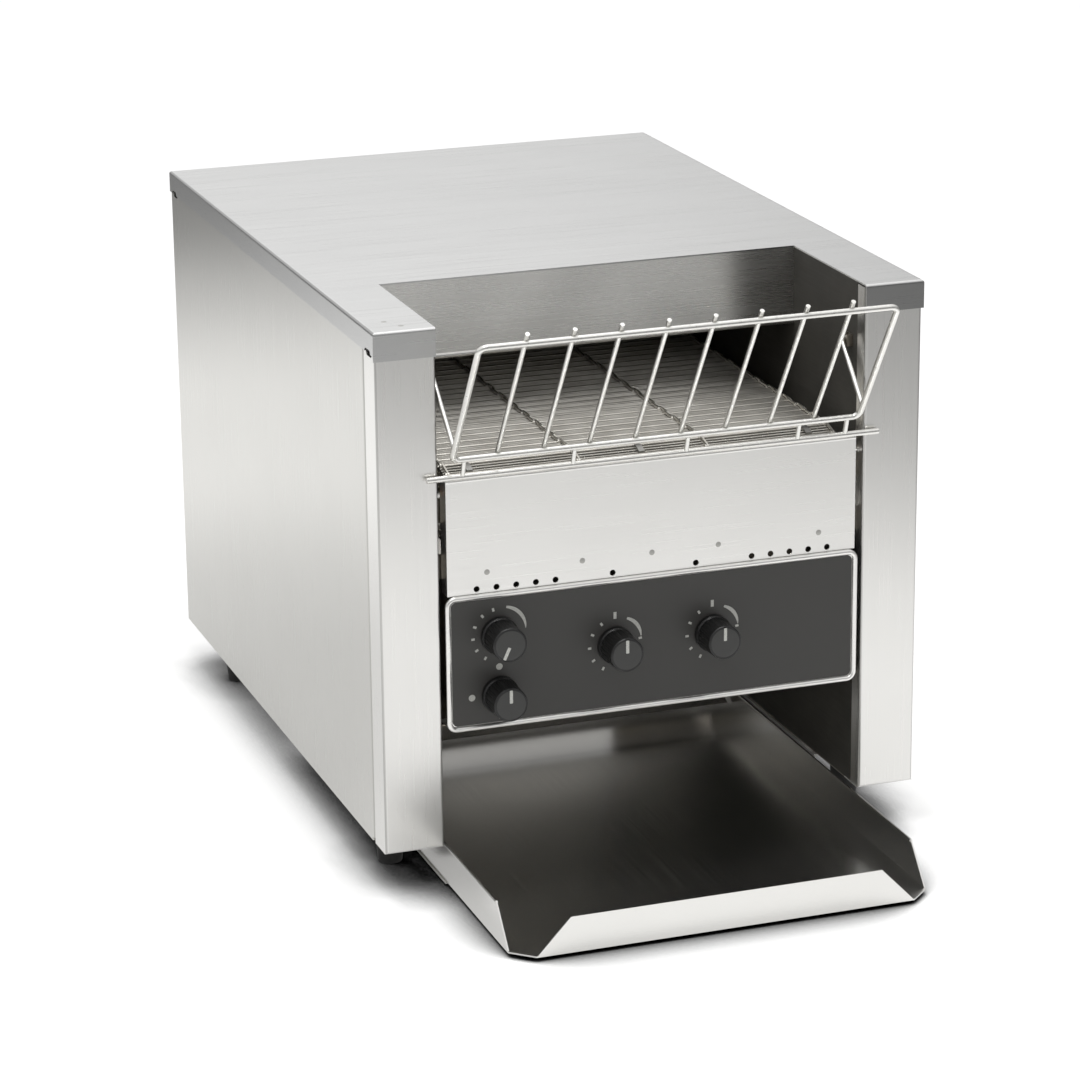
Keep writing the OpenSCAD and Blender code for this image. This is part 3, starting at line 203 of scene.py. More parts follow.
@dataclass(frozen=True)
class Finish:
    """A surface that makes its one material when it is first asked for.

    A pattern lightens and roughens it. Soft patches may show a second colour, and fine relief
    may stand out of it.

    Attributes:
        name: The material's name.
        colour: Main colour as an sRGB hex code.
        roughness: Middle roughness of the surface.
        metallic: 1 for bare metal, 0 for all else.
        shade: Share by which the pattern takes the colour down and up.
        rough: How far the pattern takes the roughness down and up.
        blotch: Width of the pattern's blotches in mm, and octaves of finer noise in them.
        stain: The second colour, or nothing.
        stained: Most of the second colour that a patch shows.
        patch: Width of a patch in mm, and octaves of finer noise in it.
        pore: Width of the relief's bumps in mm, and octaves of finer noise in them.
        raised: True where the pattern itself is the relief.
        depth_mm: The relief's real height, or 0 where the surface is smooth.
        relief: Share of the height that shows.
        more: Other inputs of the Principled shader.
    """

    name: str
    colour: str
    roughness: float
    metallic: float = 0.0
    shade: float = 0.08
    rough: float = 0.05
    blotch: Pair = (12.0, 3.0)
    stain: str = ""
    stained: float = 0.0
    patch: Pair = (40.0, 4.0)
    pore: Pair = (0.5, 1.0)
    raised: bool = False
    depth_mm: float = 0.0
    relief: float = 0.0
    more: More = ()

    def material(self) -> bpy.types.Material:
        """Returns the finish's material, and makes it on first use."""
        made = bpy.data.materials.get(self.name)
        if made is None:
            made = bpy.data.materials.new(self.name)
            made.use_nodes = True
            made.diffuse_color = srgb(self.colour)
            graph = Graph(made.node_tree)
            graph.feed(made.node_tree.nodes["Principled BSDF"], self.inputs(graph))
        return made

    def inputs(self, graph: Graph) -> dict[str, Feed]:
        """Returns the Principled shader's inputs: colour, roughness and relief.

        Args:
            graph: The material's node tree.

        Returns:
            Input name to a value, or to the output socket that feeds it.
        """
        pattern = self.pattern(graph)
        share = graph.spread(pattern, 0.0, 1.0)
        colour = graph.mix(share, self.tinted(1 - self.shade), self.tinted(1 + self.shade))
        if self.stain:
            patch = graph.spread(graph.clouds(*self.patch), 0.0, self.stained)
            colour = graph.mix(patch, colour, srgb(self.stain))
        low, high = self.roughness - self.rough, self.roughness + self.rough
        roughness = graph.spread(pattern, low, high)
        inputs = {"Metallic": self.metallic, "Base Color": colour, "Roughness": roughness}
        if self.depth_mm:
            bump = {"Height": self.height(graph, pattern), "Distance": self.depth_mm * MM}
            bump = graph.node("Bump", bump | {"Strength": self.relief})
            inputs["Normal"] = bump.outputs["Normal"]
        return inputs | dict(self.more)

    def pattern(self, graph: Graph) -> Socket:
        """Adds the pattern, which is even clouds unless a finish has its own."""
        return graph.clouds(*self.blotch)

    def height(self, graph: Graph, pattern: Socket) -> Socket:
        """Returns the relief's height, which is pores unless a finish has its own."""
        return pattern if self.raised else graph.clouds(*self.pore)

    def tinted(self, share: float) -> Colour:
        """Returns the main colour, made lighter or darker by a share."""
        r, g, b, a = srgb(self.colour)
        return (min(r * share, 1.0), min(g * share, 1.0), min(b * share, 1.0), a)


# Painted shade by the way a face looks: darker bends, and with FRONT_AND_FOLDS a darker front.
FOLDS_ONLY = ((0.0, 1.0), (0.06, 1.0), (0.2, 0.7), (0.8, 0.7), (0.94, 1.0), (1.0, 1.0))
FRONT_AND_FOLDS = ((0.0, 0.82), (0.06, 0.82), (0.2, 0.55), (0.8, 0.55), (0.94, 1.0), (1.0, 1.0))
EVEN = ((0.0, 1.0), (1.0, 1.0))


@dataclass(frozen=True)
class BrushedSteel(Finish):
    """Stainless sheet brushed by an abrasive belt.

    Long fine lines stretch every reflection across them, so a face shows soft bands and no
    sharp picture of the room. A real line is 0.05 mm wide, too fine to show, so the lines are
    drawn about 0.8 mm wide. Bends, and some front faces, are darkened as painted shade.

    Attributes:
        grain: The way that the lines run.
        anisotropy: How far the lines stretch a reflection.
        line_mm: Length and width of a line.
        haze: Share of the colour that handling takes off in patches.
        by_turn: Shares of the colour by the square of the normal's X, from 0 on a face that looks
        forward or up to 1 on one that looks sideways, as painted shade. FOLDS_ONLY darkens the
        bends in between, FRONT_AND_FOLDS also the front, and EVEN nothing.
        forward: Shares of the colour on faces that look forward, left and right of the middle, as
        painted shade that is darker towards the right end.
    """

    metallic: float = 1.0
    shade: float = 0.008
    rough: float = 0.03
    raised: bool = True
    depth_mm: float = 0.02
    relief: float = 0.006
    grain: Grain = Grain.SIDEWAYS
    anisotropy: float = 0.65
    line_mm: Pair = (90.0, 0.8)
    haze: float = 0.02
    by_turn: Stops = FOLDS_ONLY
    forward: Pair = (1.0, 1.0)

    def pattern(self, graph: Graph) -> Socket:
        """Adds the brushed lines."""
        return graph.streaks(self.grain, *self.line_mm)

    def inputs(self, graph: Graph) -> dict[str, Feed]:
        """Adds the handling haze, painted shade on bends and front faces, and the stretched gloss.
        """
        inputs = super().inputs(graph)
        face = graph.at("Normal")
        across = graph.axis(face, "X")
        ahead = graph.span(graph.axis(graph.at(), "X"), -0.1, 0.1, *self.forward)
        # painted shade: bends and front faces darker by their normal, the front darker to the
        # right
        shares = (
            graph.spread(graph.clouds(70.0), 1 - self.haze, 1.0),
            graph.ramp(graph.math("MULTIPLY", across, across), self.by_turn),
            graph.span(graph.axis(face, "Y"), -0.7, -0.95, 1.0, ahead),
        )
        for share in shares:
            inputs["Base Color"] = graph.mix(1.0, inputs["Base Color"], share, "MULTIPLY")
        turned = {0: graph.node("NewGeometry").outputs["Normal"], 1: self.grain.value}
        turned = graph.node("VectorMath", turned, operation="CROSS_PRODUCT").outputs["Vector"]
        return inputs | {"Anisotropic": self.anisotropy, "Tangent": turned}


@dataclass(frozen=True)
class HeatedSteel(Finish):
    """Mill-finish steel beside the heating tubes, dulled by straw and grey-brown clouds."""

    metallic: float = 1.0
    rough: float = 0.06
    stain: str = "#6B5A43"
    stained: float = 0.5

    def pattern(self, graph: Graph) -> Socket:
        """Adds the mill grain."""
        return graph.streaks(Grain.LENGTHWISE, long_mm=40.0, wide_mm=1.2)


@dataclass(frozen=True)
class Wire(Finish):
    """Drawn wire, with one bright line of gloss and a faint tarnish in short patches."""

    metallic: float = 1.0
    shade: float = 0.05
    blotch: Pair = (2.0, 3.0)
    stain: str = "#77736B"
    stained: float = 0.2
    patch: Pair = (16.0, 4.0)


@dataclass(frozen=True)
class TurnedMetal(Finish):
    """Turned or milled metal. The tool's rings, ring_mm apart, break its gloss up."""

    metallic: float = 1.0
    rough: float = 0.06
    blotch: Pair = (5.0, 3.0)
    depth_mm: float = 0.01
    relief: float = 0.15
    ring_mm: float = 0.3

    def height(self, graph: Graph, pattern: Socket) -> Socket:
        """Lays the rings round a shaft along X, as Blender's wave has a band every 0.31."""
        inputs = {"Vector": graph.at(), "Scale": 0.31 / (self.ring_mm * MM), "Distortion": 0.3}
        return graph.node("TexWave", inputs, bands_direction="X").outputs["Fac"]


@dataclass(frozen=True)
class Moulding(Finish):
    """Injection-moulded plastic with a spark-eroded skin, which keeps its gloss soft."""

    pore: Pair = (0.4, 1.0)
    depth_mm: float = 0.02
    relief: float = 0.35
    more: More = (("IOR", 1.5),)


@dataclass(frozen=True)
class PrintedFilm(Finish):
    """Polycarbonate overlay, printed dark grey on its back. Its velvet face has a faint sheen.

    The velvet texture is 0.25 mm wide in the real film, and drawn 0.5 mm wide.
    """

    shade: float = 0.05
    rough: float = 0.03
    blotch: Pair = (45.0, 2.0)
    depth_mm: float = 0.01
    relief: float = 0.25
    more: More = (("IOR", 1.58), ("Specular IOR Level", 0.4))


@dataclass(frozen=True)
class Ink(Finish):
    """Screen-printed ink, matt, whose cover varies a little from spot to spot."""

    shade: float = 0.12
    blotch: Pair = (0.9, 3.0)


@dataclass(frozen=True)
class Rubber(Finish):
    """Moulded rubber: deep black, matt, with a coarse skin and dust in its pores."""

    shade: float = 0.15
    blotch: Pair = (1.5, 3.0)
    stain: str = "#4A4844"
    stained: float = 0.25
    patch: Pair = (7.0, 3.0)
    pore: Pair = (0.6, 1.0)
    depth_mm: float = 0.03
    relief: float = 0.4


@dataclass(frozen=True)
class Quartz(Finish):
    """Milky fused quartz. It glows a little where light passes through its wall."""

    shade: float = 0.06
    rough: float = 0.04
    more: More = (
        ("IOR", 1.46),
        ("Coat Weight", 0.4),
        ("Coat Roughness", 0.12),
        ("Subsurface Weight", 0.15),
        ("Subsurface Radius", (0.003, 0.003, 0.003)),
    )

    def pattern(self, graph: Graph) -> Socket:
        """Adds the drawn tube's faint lines along X."""
        return graph.streaks(Grain.SIDEWAYS, long_mm=60.0, wide_mm=2.0)


@dataclass(frozen=True)
class FibreFelt(Finish):
    """Pressed ceramic-fibre blanket: white, matt, of fibres about 1 mm thick in soft lumps."""

    shade: float = 0.12
    rough: float = 0.03
    blotch: Pair = (1.0, 6.0)
    pore: Pair = (6.0, 6.0)
    depth_mm: float = 0.8
    relief: float = 0.8


@dataclass(frozen=True)
class BoardResist(Finish):
    """Green solder resist over copper tracks, which show as slightly raised, lighter lines."""

    shade: float = 0.25
    raised: bool = True
    depth_mm: float = 0.05
    relief: float = 0.3
    track_mm: float = 2.5

    def pattern(self, graph: Graph) -> Socket:
        """Adds right-angled tracks, from the edges of square cells."""
        inputs = {"Vector": graph.at(), "Scale": 1 / (self.track_mm * MM), "Randomness": 0.6}
        return graph.node("TexVoronoi", inputs, distance="CHEBYCHEV").outputs["Distance"]


# Painted shade: the cover's front flange is darker, most at its right end.
COVER = BrushedSteel("brushed_stainless_cover", "#DEDEDD", 0.3, forward=(0.69, 0.385))
CASE_BACK = BrushedSteel("brushed_stainless_sideways", "#DBDAD6", 0.3)
CASE_SIDE = BrushedSteel("brushed_stainless_upright", "#DBDAD6", 0.3, grain=Grain.UPRIGHT)
# Painted light: the pillars' steel is set lighter than the case's.
PILLAR = BrushedSteel(
    "brushed_stainless_pillar", "#EFEEEB", 0.3, grain=Grain.UPRIGHT, by_turn=FRONT_AND_FOLDS
)
# Painted light: the front panel's and fascia's steel is set lighter than the case's.
PANEL = BrushedSteel("brushed_stainless_panel", "#EEEDEA", 0.3, by_turn=EVEN)
# Painted shade: the hood's steel is set darker than the case's.
HOOD = BrushedSteel(
    "brushed_stainless_hood", "#D4D3D0", 0.28, shade=0.005, relief=0.002, haze=0.14, by_turn=EVEN
)
WELD = BrushedSteel("weld_marked_stainless", "#B2B1AD", 0.36, shade=0.0, relief=0.0, by_turn=EVEN)
TRAY_SHEET = BrushedSteel(
    "brushed_stainless_tray",
    "#DEDDDA",
    0.24,
    shade=0.0,
    relief=0.0,
    grain=Grain.LENGTHWISE,
    anisotropy=0.1,
)
INNER = HeatedSteel("heat_dulled_steel", "#8C8982", 0.42)
# Painted shade: the liners are dark and matt for the unlit tunnel.
LINER = HeatedSteel("shade_darkened_liner", "#46443F", 0.65, metallic=0.0, stain="#24221F")
SLIDE = HeatedSteel("heat_dulled_slide", "#C9C7C2", 0.6, stain="#A39A8C", stained=0.3)
GUIDE = HeatedSteel(
    "zinc_bloomed_guide", "#DCDBD8", 0.6, metallic=0.1, stain="#BDBBB5", stained=0.3
)
REFLECTOR = HeatedSteel("reflector_aluminium", "#B4B2AC", 0.3, stain="#7C6F5C", stained=0.4)
BELT_WIRE = Wire("heated_stainless_wire", "#CBC8C1", 0.38, stain="#8A857C", stained=0.4)
RACK_WIRE = Wire("bright_plated_wire", "#E8E7E3", 0.32, stained=0.06)
PLATED = Wire("zinc_plated_steel", "#BDBDBA", 0.3, stain="#8D8C86")
TURNED = TurnedMetal("turned_steel", "#B5B4B1", 0.3)
MACHINED = TurnedMetal("machined_steel", "#8F8E8B", 0.4, ring_mm=0.5)
OILED_CHAIN = TurnedMetal("oiled_chain_steel", "#5E5A54", 0.35, ring_mm=0.8)
BRONZE = TurnedMetal("sintered_bronze", "#A9834F", 0.48)
CASTING = Moulding("painted_die_casting", "#6A6D70", 0.5, pore=(1.2, 1.0), depth_mm=0.06)
OVERLAY = PrintedFilm("printed_velvet_film", "#3C3B39", 0.46)
KNOB = Moulding("black_moulded_phenolic", "#111111", 0.4)
# Painted sheen: the knob's face is a lighter grey than its black sides.
KNOB_FACE_SHEEN = Moulding("knob_face_painted_sheen", "#3D3D3C", 0.5)
INK = Ink("grey_white_ink", "#B9B9B4", 0.6)
POINTER = Ink("white_pointer_fill", "#CBCBC6", 0.5)
CONTROL_CAN = Moulding("moulded_control_can", "#2F4A6E", 0.5)
SWITCH_BODY = Moulding("moulded_switch_body", "#B9B29E", 0.5)
NYLON = Moulding("black_nylon", "#202020", 0.45)
FAN_PLASTIC = Moulding("glass_filled_black_plastic", "#1C1C1C", 0.55, pore=(0.8, 1.0))
FEET_RUBBER = Rubber("moulded_rubber", "#151515", 0.75)
QUARTZ = Quartz("milky_quartz", "#D9D3C6", 0.3)
CERAMIC = Moulding("fired_steatite", "#DDD8C9", 0.55, pore=(0.8, 1.0))
TERMINAL = Moulding("moulded_terminal_block", "#E0DCCB", 0.45)
FELT = FibreFelt("pressed_fibre_blanket", "#E4E2DC", 0.95)
BOARD = BoardResist("green_solder_resist", "#1E5A34", 0.35)


# -------- shapes


def grid_faces(rows: int, cols: int, ring: bool) -> Faces:
    """Numbers the quads of a grid of points, row by row.

    Args:
        rows: Rows of points.
        cols: Points in a row.
        ring: True where a row's last point joins its first.

    Returns:
        One tuple of four point numbers for each quad.
    """
    r, c = np.meshgrid(np.arange(rows - 1), np.arange(cols if ring else cols - 1), indexing="ij")
    n = (c + 1) % cols
    quads = np.stack([r * cols + c, r * cols + n, (r + 1) * cols + n, (r + 1) * cols + c], axis=-1)
    return [tuple(q) for q in quads.reshape(-1, 4).tolist()]


def outward(points: Array, faces: Faces) -> Shell:
    """Turns a closed shell's faces outwards.

    The shell's signed volume is the sum over its faces' triangles of a . (b x c) / 6, and it is
    negative where the faces point inwards.

    Args:
        points: The shell's points, one row each.
        faces: Its faces as tuples of point numbers.

    Returns:
        The points and the faces, pointing outwards.
    """
    fans = [(f[0], f[i], f[i + 1]) for f in faces for i in range(1, len(f) - 1)]
    a, b, c = (points[[f[i] for f in fans]] for i in range(3))
    volume = np.einsum("ij,ij->i", a, np.cross(b, c)).sum()
    return points, faces if volume > 0 else [f[::-1] for f in faces]


def sweep(path: Array, side: Array, up: Array, profile: Array) -> Shell:
    """Carries a closed profile along a path and closes both ends.

    Point (i, j) is path[i] + profile[j, 0] * side[i] + profile[j, 1] * up[i].

    Args:
        path: Points of the path, one row each.
        side: Direction of the profile's first axis, at all points or at each.
        up: Direction of its second axis, given likewise.
        profile: The profile's corners, or one such set for each point of the path.

    Returns:
        The closed shell.
    """
    side, up = np.broadcast_to(side, path.shape), np.broadcast_to(up, path.shape)
    shape = np.broadcast_to(profile, (len(path), *profile.shape[-2:]))
    points = path[:, None] + shape[..., :1] * side[:, None] + shape[..., 1:] * up[:, None]
    n, m = points.shape[:2]
    ends = [tuple(range(m))[::-1], tuple(range((n - 1) * m, n * m))]
    return outward(points.reshape(-1, 3), grid_faces(n, m, True) + ends)


def lathe(centre: Array, axis: Array, outline: Array, turns: int) -> Shell:
    """Turns an outline round an axis, from pole to pole.

    Point (i, j) is centre + height[i] * axis + radius[i] * (u cos t + v sin t), where t is j
    parts of a full turn and u and v are square to the axis. The first and last radius are 0.

    Args:
        centre: A point on the axis.
        axis: The axis, one metre long.
        outline: Rows of radius and height.
        turns: Points round the axis.

    Returns:
        The closed shell.
    """
    u = np.cross(axis, [0.3, 0.5, 0.8])  # a direction that is no piece's axis
    u /= np.linalg.norm(u)
    v = np.cross(axis, u)
    t = np.arange(turns) * 2 * np.pi / turns
    ring = np.cos(t)[:, None] * u + np.sin(t)[:, None] * v
    body = outline[1:-1]
    points = centre + body[:, 1, None, None] * axis + body[:, 0, None, None] * ring
    points = points.reshape(-1, 3)
    poles = centre + outline[[0, -1], 1, None] * axis
    first, last, n = len(points), len(points) + 1, len(body)
    faces = grid_faces(n, turns, True)
    faces += [(first, (j + 1) % turns, j) for j in range(turns)]
    faces += [(last, (n - 1) * turns + j, (n - 1) * turns + (j + 1) % turns) for j in range(turns)]
    return outward(np.vstack([points, poles]), faces)


def heading(degrees: float | Array) -> Array:
    """Returns the x and z of directions, in degrees anticlockwise from the right."""
    t = np.radians(degrees)
    return np.stack([np.cos(t), np.sin(t)], axis=-1)


def frame_matrix(side: Array, top: Array, back: Array, place: Point) -> Matrix:
    """Returns the matrix that turns X, Y and Z to three directions, at a place."""
    return Matrix([*np.column_stack([side, top, back, place]).tolist(), [0, 0, 0, 1]])


def add_object(
    name: str, data: bpy.types.ID, matrix: Matrix = Matrix.Identity(4)
) -> bpy.types.Object:
    """Adds an object to the scene.

    Args:
        name: The object's name.
        data: Its mesh, lamp or camera data.
        matrix: Its place and turn.

    Returns:
        The new object.
    """
    made = bpy.data.objects.new(name, data)
    made.matrix_world = matrix
    bpy.context.scene.collection.objects.link(made)
    return made


@dataclass
class Assembly:
    """A part of the toaster that finishes its CAD nodes and adds its own pieces.

    Attributes:
        coats: Each finish with the names of the CAD nodes that get it.
        nodes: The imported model's nodes by name.
        made: Names of the pieces that the assembly has added.
        sharp_deg: Edges that turn by more than this stay sharp.
    """

    coats: ClassVar[dict[Finish, tuple[str, ...]]]
    nodes: dict[str, bpy.types.Object]
    made: list[str] = field(default_factory=list)
    sharp_deg: float = 35.0

    def dress(self) -> None:
        """Gives the assembly's CAD nodes their finishes."""
        for finish, names in self.coats.items():
            for name in names:
                mesh = self.nodes[name].data
                mesh.materials.clear()
                mesh.materials.append(finish.material())

    def build(self) -> None:
        """Adds the assembly's own pieces, where it has any."""

    def fit(self, name: str, shells: list[Shell], finish: Finish, body: str, slot: str) -> None:
        """Makes one piece of closed shells and sets it on a body.

        Args:
            name: The piece's name.
            shells: Its closed shells.
            finish: Its finish.
            body: The body that it rides on.
            slot: The record's material slot. Not used.
        """
        starts = np.cumsum([0] + [len(p) for p, _ in shells[:-1]])
        points = np.vstack([p for p, _ in shells])
        faces = [tuple(int(i + s) for i in f) for s, (_, fs) in zip(starts, shells) for f in fs]
        mesh = bpy.data.meshes.new(name)
        mesh.from_pydata(points.tolist(), [], faces)
        mesh.validate()
        mesh.materials.append(finish.material())
        mesh.shade_smooth()
        mesh.set_sharp_from_angle(angle=math.radians(self.sharp_deg))
        piece = add_object(name, mesh)
        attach(piece, body)
        self.made.append(name)


# -------- case


@dataclass
class Case(Assembly):
    """The sheet-steel cabinet with its feet and screws.

    The front panel's marks lie panel_face_mm behind its foremost edge and panel_up_mm over its
    lower one. The cover's are placed along X and back from the pillars' front.
    """

    coats = {
        COVER: ("top_cover",),
        CASE_BACK: ("rear_panel", "rear_cowl"),
        PANEL: ("front_panel", "control_fascia"),
        CASE_SIDE: ("left_side_panel", "right_side_panel"),
        PILLAR: ("left_pillar", "right_pillar"),
        HOOD: ("hood_wall",),
        INNER: ("base_pan", "panel_brackets"),
        LINER: ("left_liner", "right_liner"),
        PLATED: ("case_screws", "foot_screws"),
        FEET_RUBBER: ("feet",),
        NYLON: ("cord_gland",),
    }
    weld_r_mm: float = 1.9
    weld_h_mm: float = 0.12
    weld_sunk_mm: float = 0.05
    panel_face_mm: float = 0.15
    panel_up_mm: float = 13.6
    panel_x_mm: tuple[float, ...] = (-113.0, -49.0, -1.7, 44.0, 114.0)
    cover_spots_mm: tuple[Pair, ...] = ((-170.0, 24.0), (-163.0, 11.0))

    def weld_mark(self, centre: Point, axis: Point) -> Shell:
        """Makes one weld mark, a low dome: its height falls with the square of its radius.

        Args:
            centre: The mark's middle, on the sheet.
            axis: The way that it stands out.

        Returns:
            The closed shell.
        """
        r = np.linspace(0, self.weld_r_mm, 6) * MM
        h = self.weld_h_mm * MM * (1 - (r / r[-1]) ** 2)
        sunk = -self.weld_sunk_mm * MM
        outline = np.vstack([np.column_stack([r, h]), [[r[-1], sunk], [0.0, sunk]]])
        return lathe(np.array(centre), np.array(axis), outline, 20)

    def build(self) -> None:
        """Adds the faint marks that spot welds leave on the front panel and the cover."""
        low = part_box("front_panel")[0]
        y, z = low.y + self.panel_face_mm * MM, low.z + self.panel_up_mm * MM
        marks = [self.weld_mark((x * MM, y, z), (0, -1, 0)) for x in self.panel_x_mm]
        self.fit("panel_weld_marks", marks, WELD, "cabinet", "stainless_cover")
        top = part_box("top_cover")[1].z
        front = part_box("left_pillar")[0].y
        spots = ((x * MM, front + back * MM, top) for x, back in self.cover_spots_mm)
        marks = [self.weld_mark(spot, (0, 0, 1)) for spot in spots]
        self.fit("cover_weld_marks", marks, WELD, "cabinet", "stainless_cover")


# -------- controls


@dataclass
class Dial:
    """One knob's place and the marks printed round it.

    Attributes:
        body: The body that the knob rides on, and the first part of its nodes' names.
        pointer: The pointer's angle from upright, in degrees anticlockwise.
        ticks: Angles of the short marks, in degrees anticlockwise from the right.
        tall: Angles of the tall marks.
        wedge: First and last angle of the curved wedge, or nothing.
        dots: Angles of the round marks.
    """

    body: str
    pointer: float = 0.0
    ticks: tuple[float, ...] = ()
    tall: tuple[float, ...] = ()
    wedge: tuple[float, ...] = ()
    dots: tuple[float, ...] = ()

    def knob(self) -> tuple[Array, float, float]:
        """Returns the x and z of the knob's middle, its radius, and the y of its front."""
        low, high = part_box(f"{self.body}_knob")
        centre = np.array([(low.x + high.x) / 2, (low.z + high.z) / 2])
        return centre, (high.x - low.x) / 2, low.y


HEAT_MARKS = {
    "ticks": (122.0, 152.0, 182.0, 212.0, 242.0, 8.0),
    "tall": (90.0,),
    "wedge": (64.0, 12.0),
}
DIALS = (
    Dial("speed", 155.0, ticks=(129.0, 157.0, 184.0, 211.0, 238.0, 102.0), wedge=(74.0, 8.0)),
    Dial("mode", dots=(90.0, 181.0)),
    Dial("top_heat", **HEAT_MARKS),
    Dial("bottom_heat", **HEAT_MARKS),
)


@dataclass
class Controls(Assembly):
    """The dark overlay, its dial prints and the four knobs.

    Ticks straddle a ring round the knob, and tall marks and wedges stand outside it. A knob's rim
    leaves room for its face, and the pointer lies over the face.
    """

    coats = {
        OVERLAY: ("control_overlay",),
        INNER: ("control_shield",),
        CONTROL_CAN: ("speed_control", "top_heat_control", "bottom_heat_control"),
        SWITCH_BODY: ("mode_switch",),
        KNOB: tuple(f"{dial.body}_knob" for dial in DIALS),
        TURNED: tuple(f"{dial.body}_spindle" for dial in DIALS),
    }
    print_mm: float = 0.04
    ring_mm: float = 17.4
    tick_mm: float = 2.3
    tick_w_mm: float = 1.5
    tall_mm: float = 4.6
    tall_weight: float = 1.35
    wedge_mm: float = 2.4
    wedge_gap_mm: float = 0.6
    dot_mm: float = 2.2
    dot_ring_mm: float = 18.6
    face_rim_mm: float = 2.6
    face_step_mm: float = 0.25
    face_sunk_mm: float = 0.2
    inlay_w_mm: float = 2.1
    inlay_start_mm: float = 1.4
    inlay_rim_mm: float = 2.2
    inlay_end: float = 0.35
    inlay_over_mm: float = 0.02

    def plate(self, line: Array, half: Array, y: float) -> Shell:
        """Makes a thin printed mark along a line in the overlay's plane.

        The line's tangent is its numerical gradient, and the mark reaches half to each side.

        Args:
            line: Points x, z of the mark's middle line.
            half: Half its width at each point.
            y: The face that it lies on.

        Returns:
            The closed shell.
        """
        run = np.gradient(line, axis=0)
        run /= np.linalg.norm(run, axis=1, keepdims=True)
        path = np.column_stack([line[:, 0], np.full(len(line), y), line[:, 1]])
        side = np.column_stack([-run[:, 1], np.zeros(len(line)), run[:, 0]])
        t = self.print_mm * MM
        corners = np.array([[-1, -0.5 * t], [1, -0.5 * t], [1, t], [-1, t]])
        profile = np.tile(corners, (len(line), 1, 1))
        profile[..., 0] *= half[:, None]
        return sweep(path, side, OUT, profile)

    def marks(self, dial: Dial, y: float) -> list[Shell]:
        """Makes the marks printed round one knob.

        A wedge's width is its widest times 0.15 + 0.85 sin(s) ** 0.8, for s from 0.15 to 1 half
        turn.

        Args:
            dial: The dial.
            y: The overlay's face.

        Returns:
            One closed shell for each mark.
        """
        centre = dial.knob()[0]
        made = []
        strokes = [(a, self.ring_mm - self.tick_mm / 2, self.tick_mm, 1.0) for a in dial.ticks]
        strokes += [(a, self.ring_mm, self.tall_mm, self.tall_weight) for a in dial.tall]
        for angle, start, length, weight in strokes:
            reach = np.linspace(start, start + length, 3)[:, None] * MM
            half = np.full(3, self.tick_w_mm * weight / 2 * MM)
            made.append(self.plate(centre + reach * heading(angle), half, y))
        if dial.wedge:
            swell = 0.15 + 0.85 * np.sin(np.linspace(0.15, 1, 25) * np.pi) ** 0.8
            half = self.wedge_mm / 2 * swell * MM
            r = (self.ring_mm + self.wedge_gap_mm) * MM + half
            line = centre + r[:, None] * heading(np.linspace(*dial.wedge, 25))
            made.append(self.plate(line, half, y))
        for angle in dial.dots:
            x, z = centre + self.dot_ring_mm * MM * heading(angle)
            h, r = self.print_mm * MM, self.dot_mm * MM
            outline = np.array([[0, -h], [r, -h], [r, h], [0, h]])
            made.append(lathe(np.array([x, y, z]), OUT, outline, 28))
        return made

    def cap(self, dial: Dial) -> Shell:
        """Makes a knob's face, a shallow round-edged dome, lighter as a painted sheen.

        Its height over the knob is the step times 1 - (r / R) ** 6, so it is flat but for the
        edge.

        Args:
            dial: The dial whose knob it closes.

        Returns:
            The closed shell.
        """
        (x, z), radius, front = dial.knob()
        radius -= self.face_rim_mm * MM
        r = np.linspace(0, 1, 12)
        h = self.face_step_mm * MM * (1 - r**6)
        sunk = -self.face_sunk_mm * MM
        outline = np.vstack([np.column_stack([r * radius, h]), [[radius, sunk], [0.0, sunk]]])
        return lathe(np.array([x, front, z]), OUT, outline, 48)

    def inlay(self, dial: Dial) -> Shell:
        """Makes the light line that fills a knob's pointer groove, with round ends.

        Args:
            dial: The dial whose knob it marks.

        Returns:
            The closed shell.
        """
        centre, radius, front = dial.knob()
        start, end = self.inlay_start_mm * MM, radius - self.inlay_rim_mm * MM
        s = (1 - np.cos(np.linspace(0, np.pi, 13))) / 2
        line = centre + (start + s * (end - start))[:, None] * heading(90 + dial.pointer)
        half = np.full(len(s), self.inlay_w_mm / 2 * MM)
        half[[0, -1]] *= self.inlay_end
        return self.plate(line, half, front - (self.face_step_mm + self.inlay_over_mm) * MM)

    def build(self) -> None:
        """Adds the dial prints, and a face and a pointer to each knob."""
        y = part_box("control_overlay")[0].y
        for dial in DIALS:
            name = dial.body
            self.fit(f"{name}_dial_print", self.marks(dial, y), INK, "cabinet", "overlay")
            self.fit(f"{name}_knob_face", [self.cap(dial)], KNOB_FACE_SHEEN, name, "knob_plastic")
            self.fit(f"{name}_knob_pointer", [self.inlay(dial)], POINTER, name, "knob_plastic")


# -------- conveyor


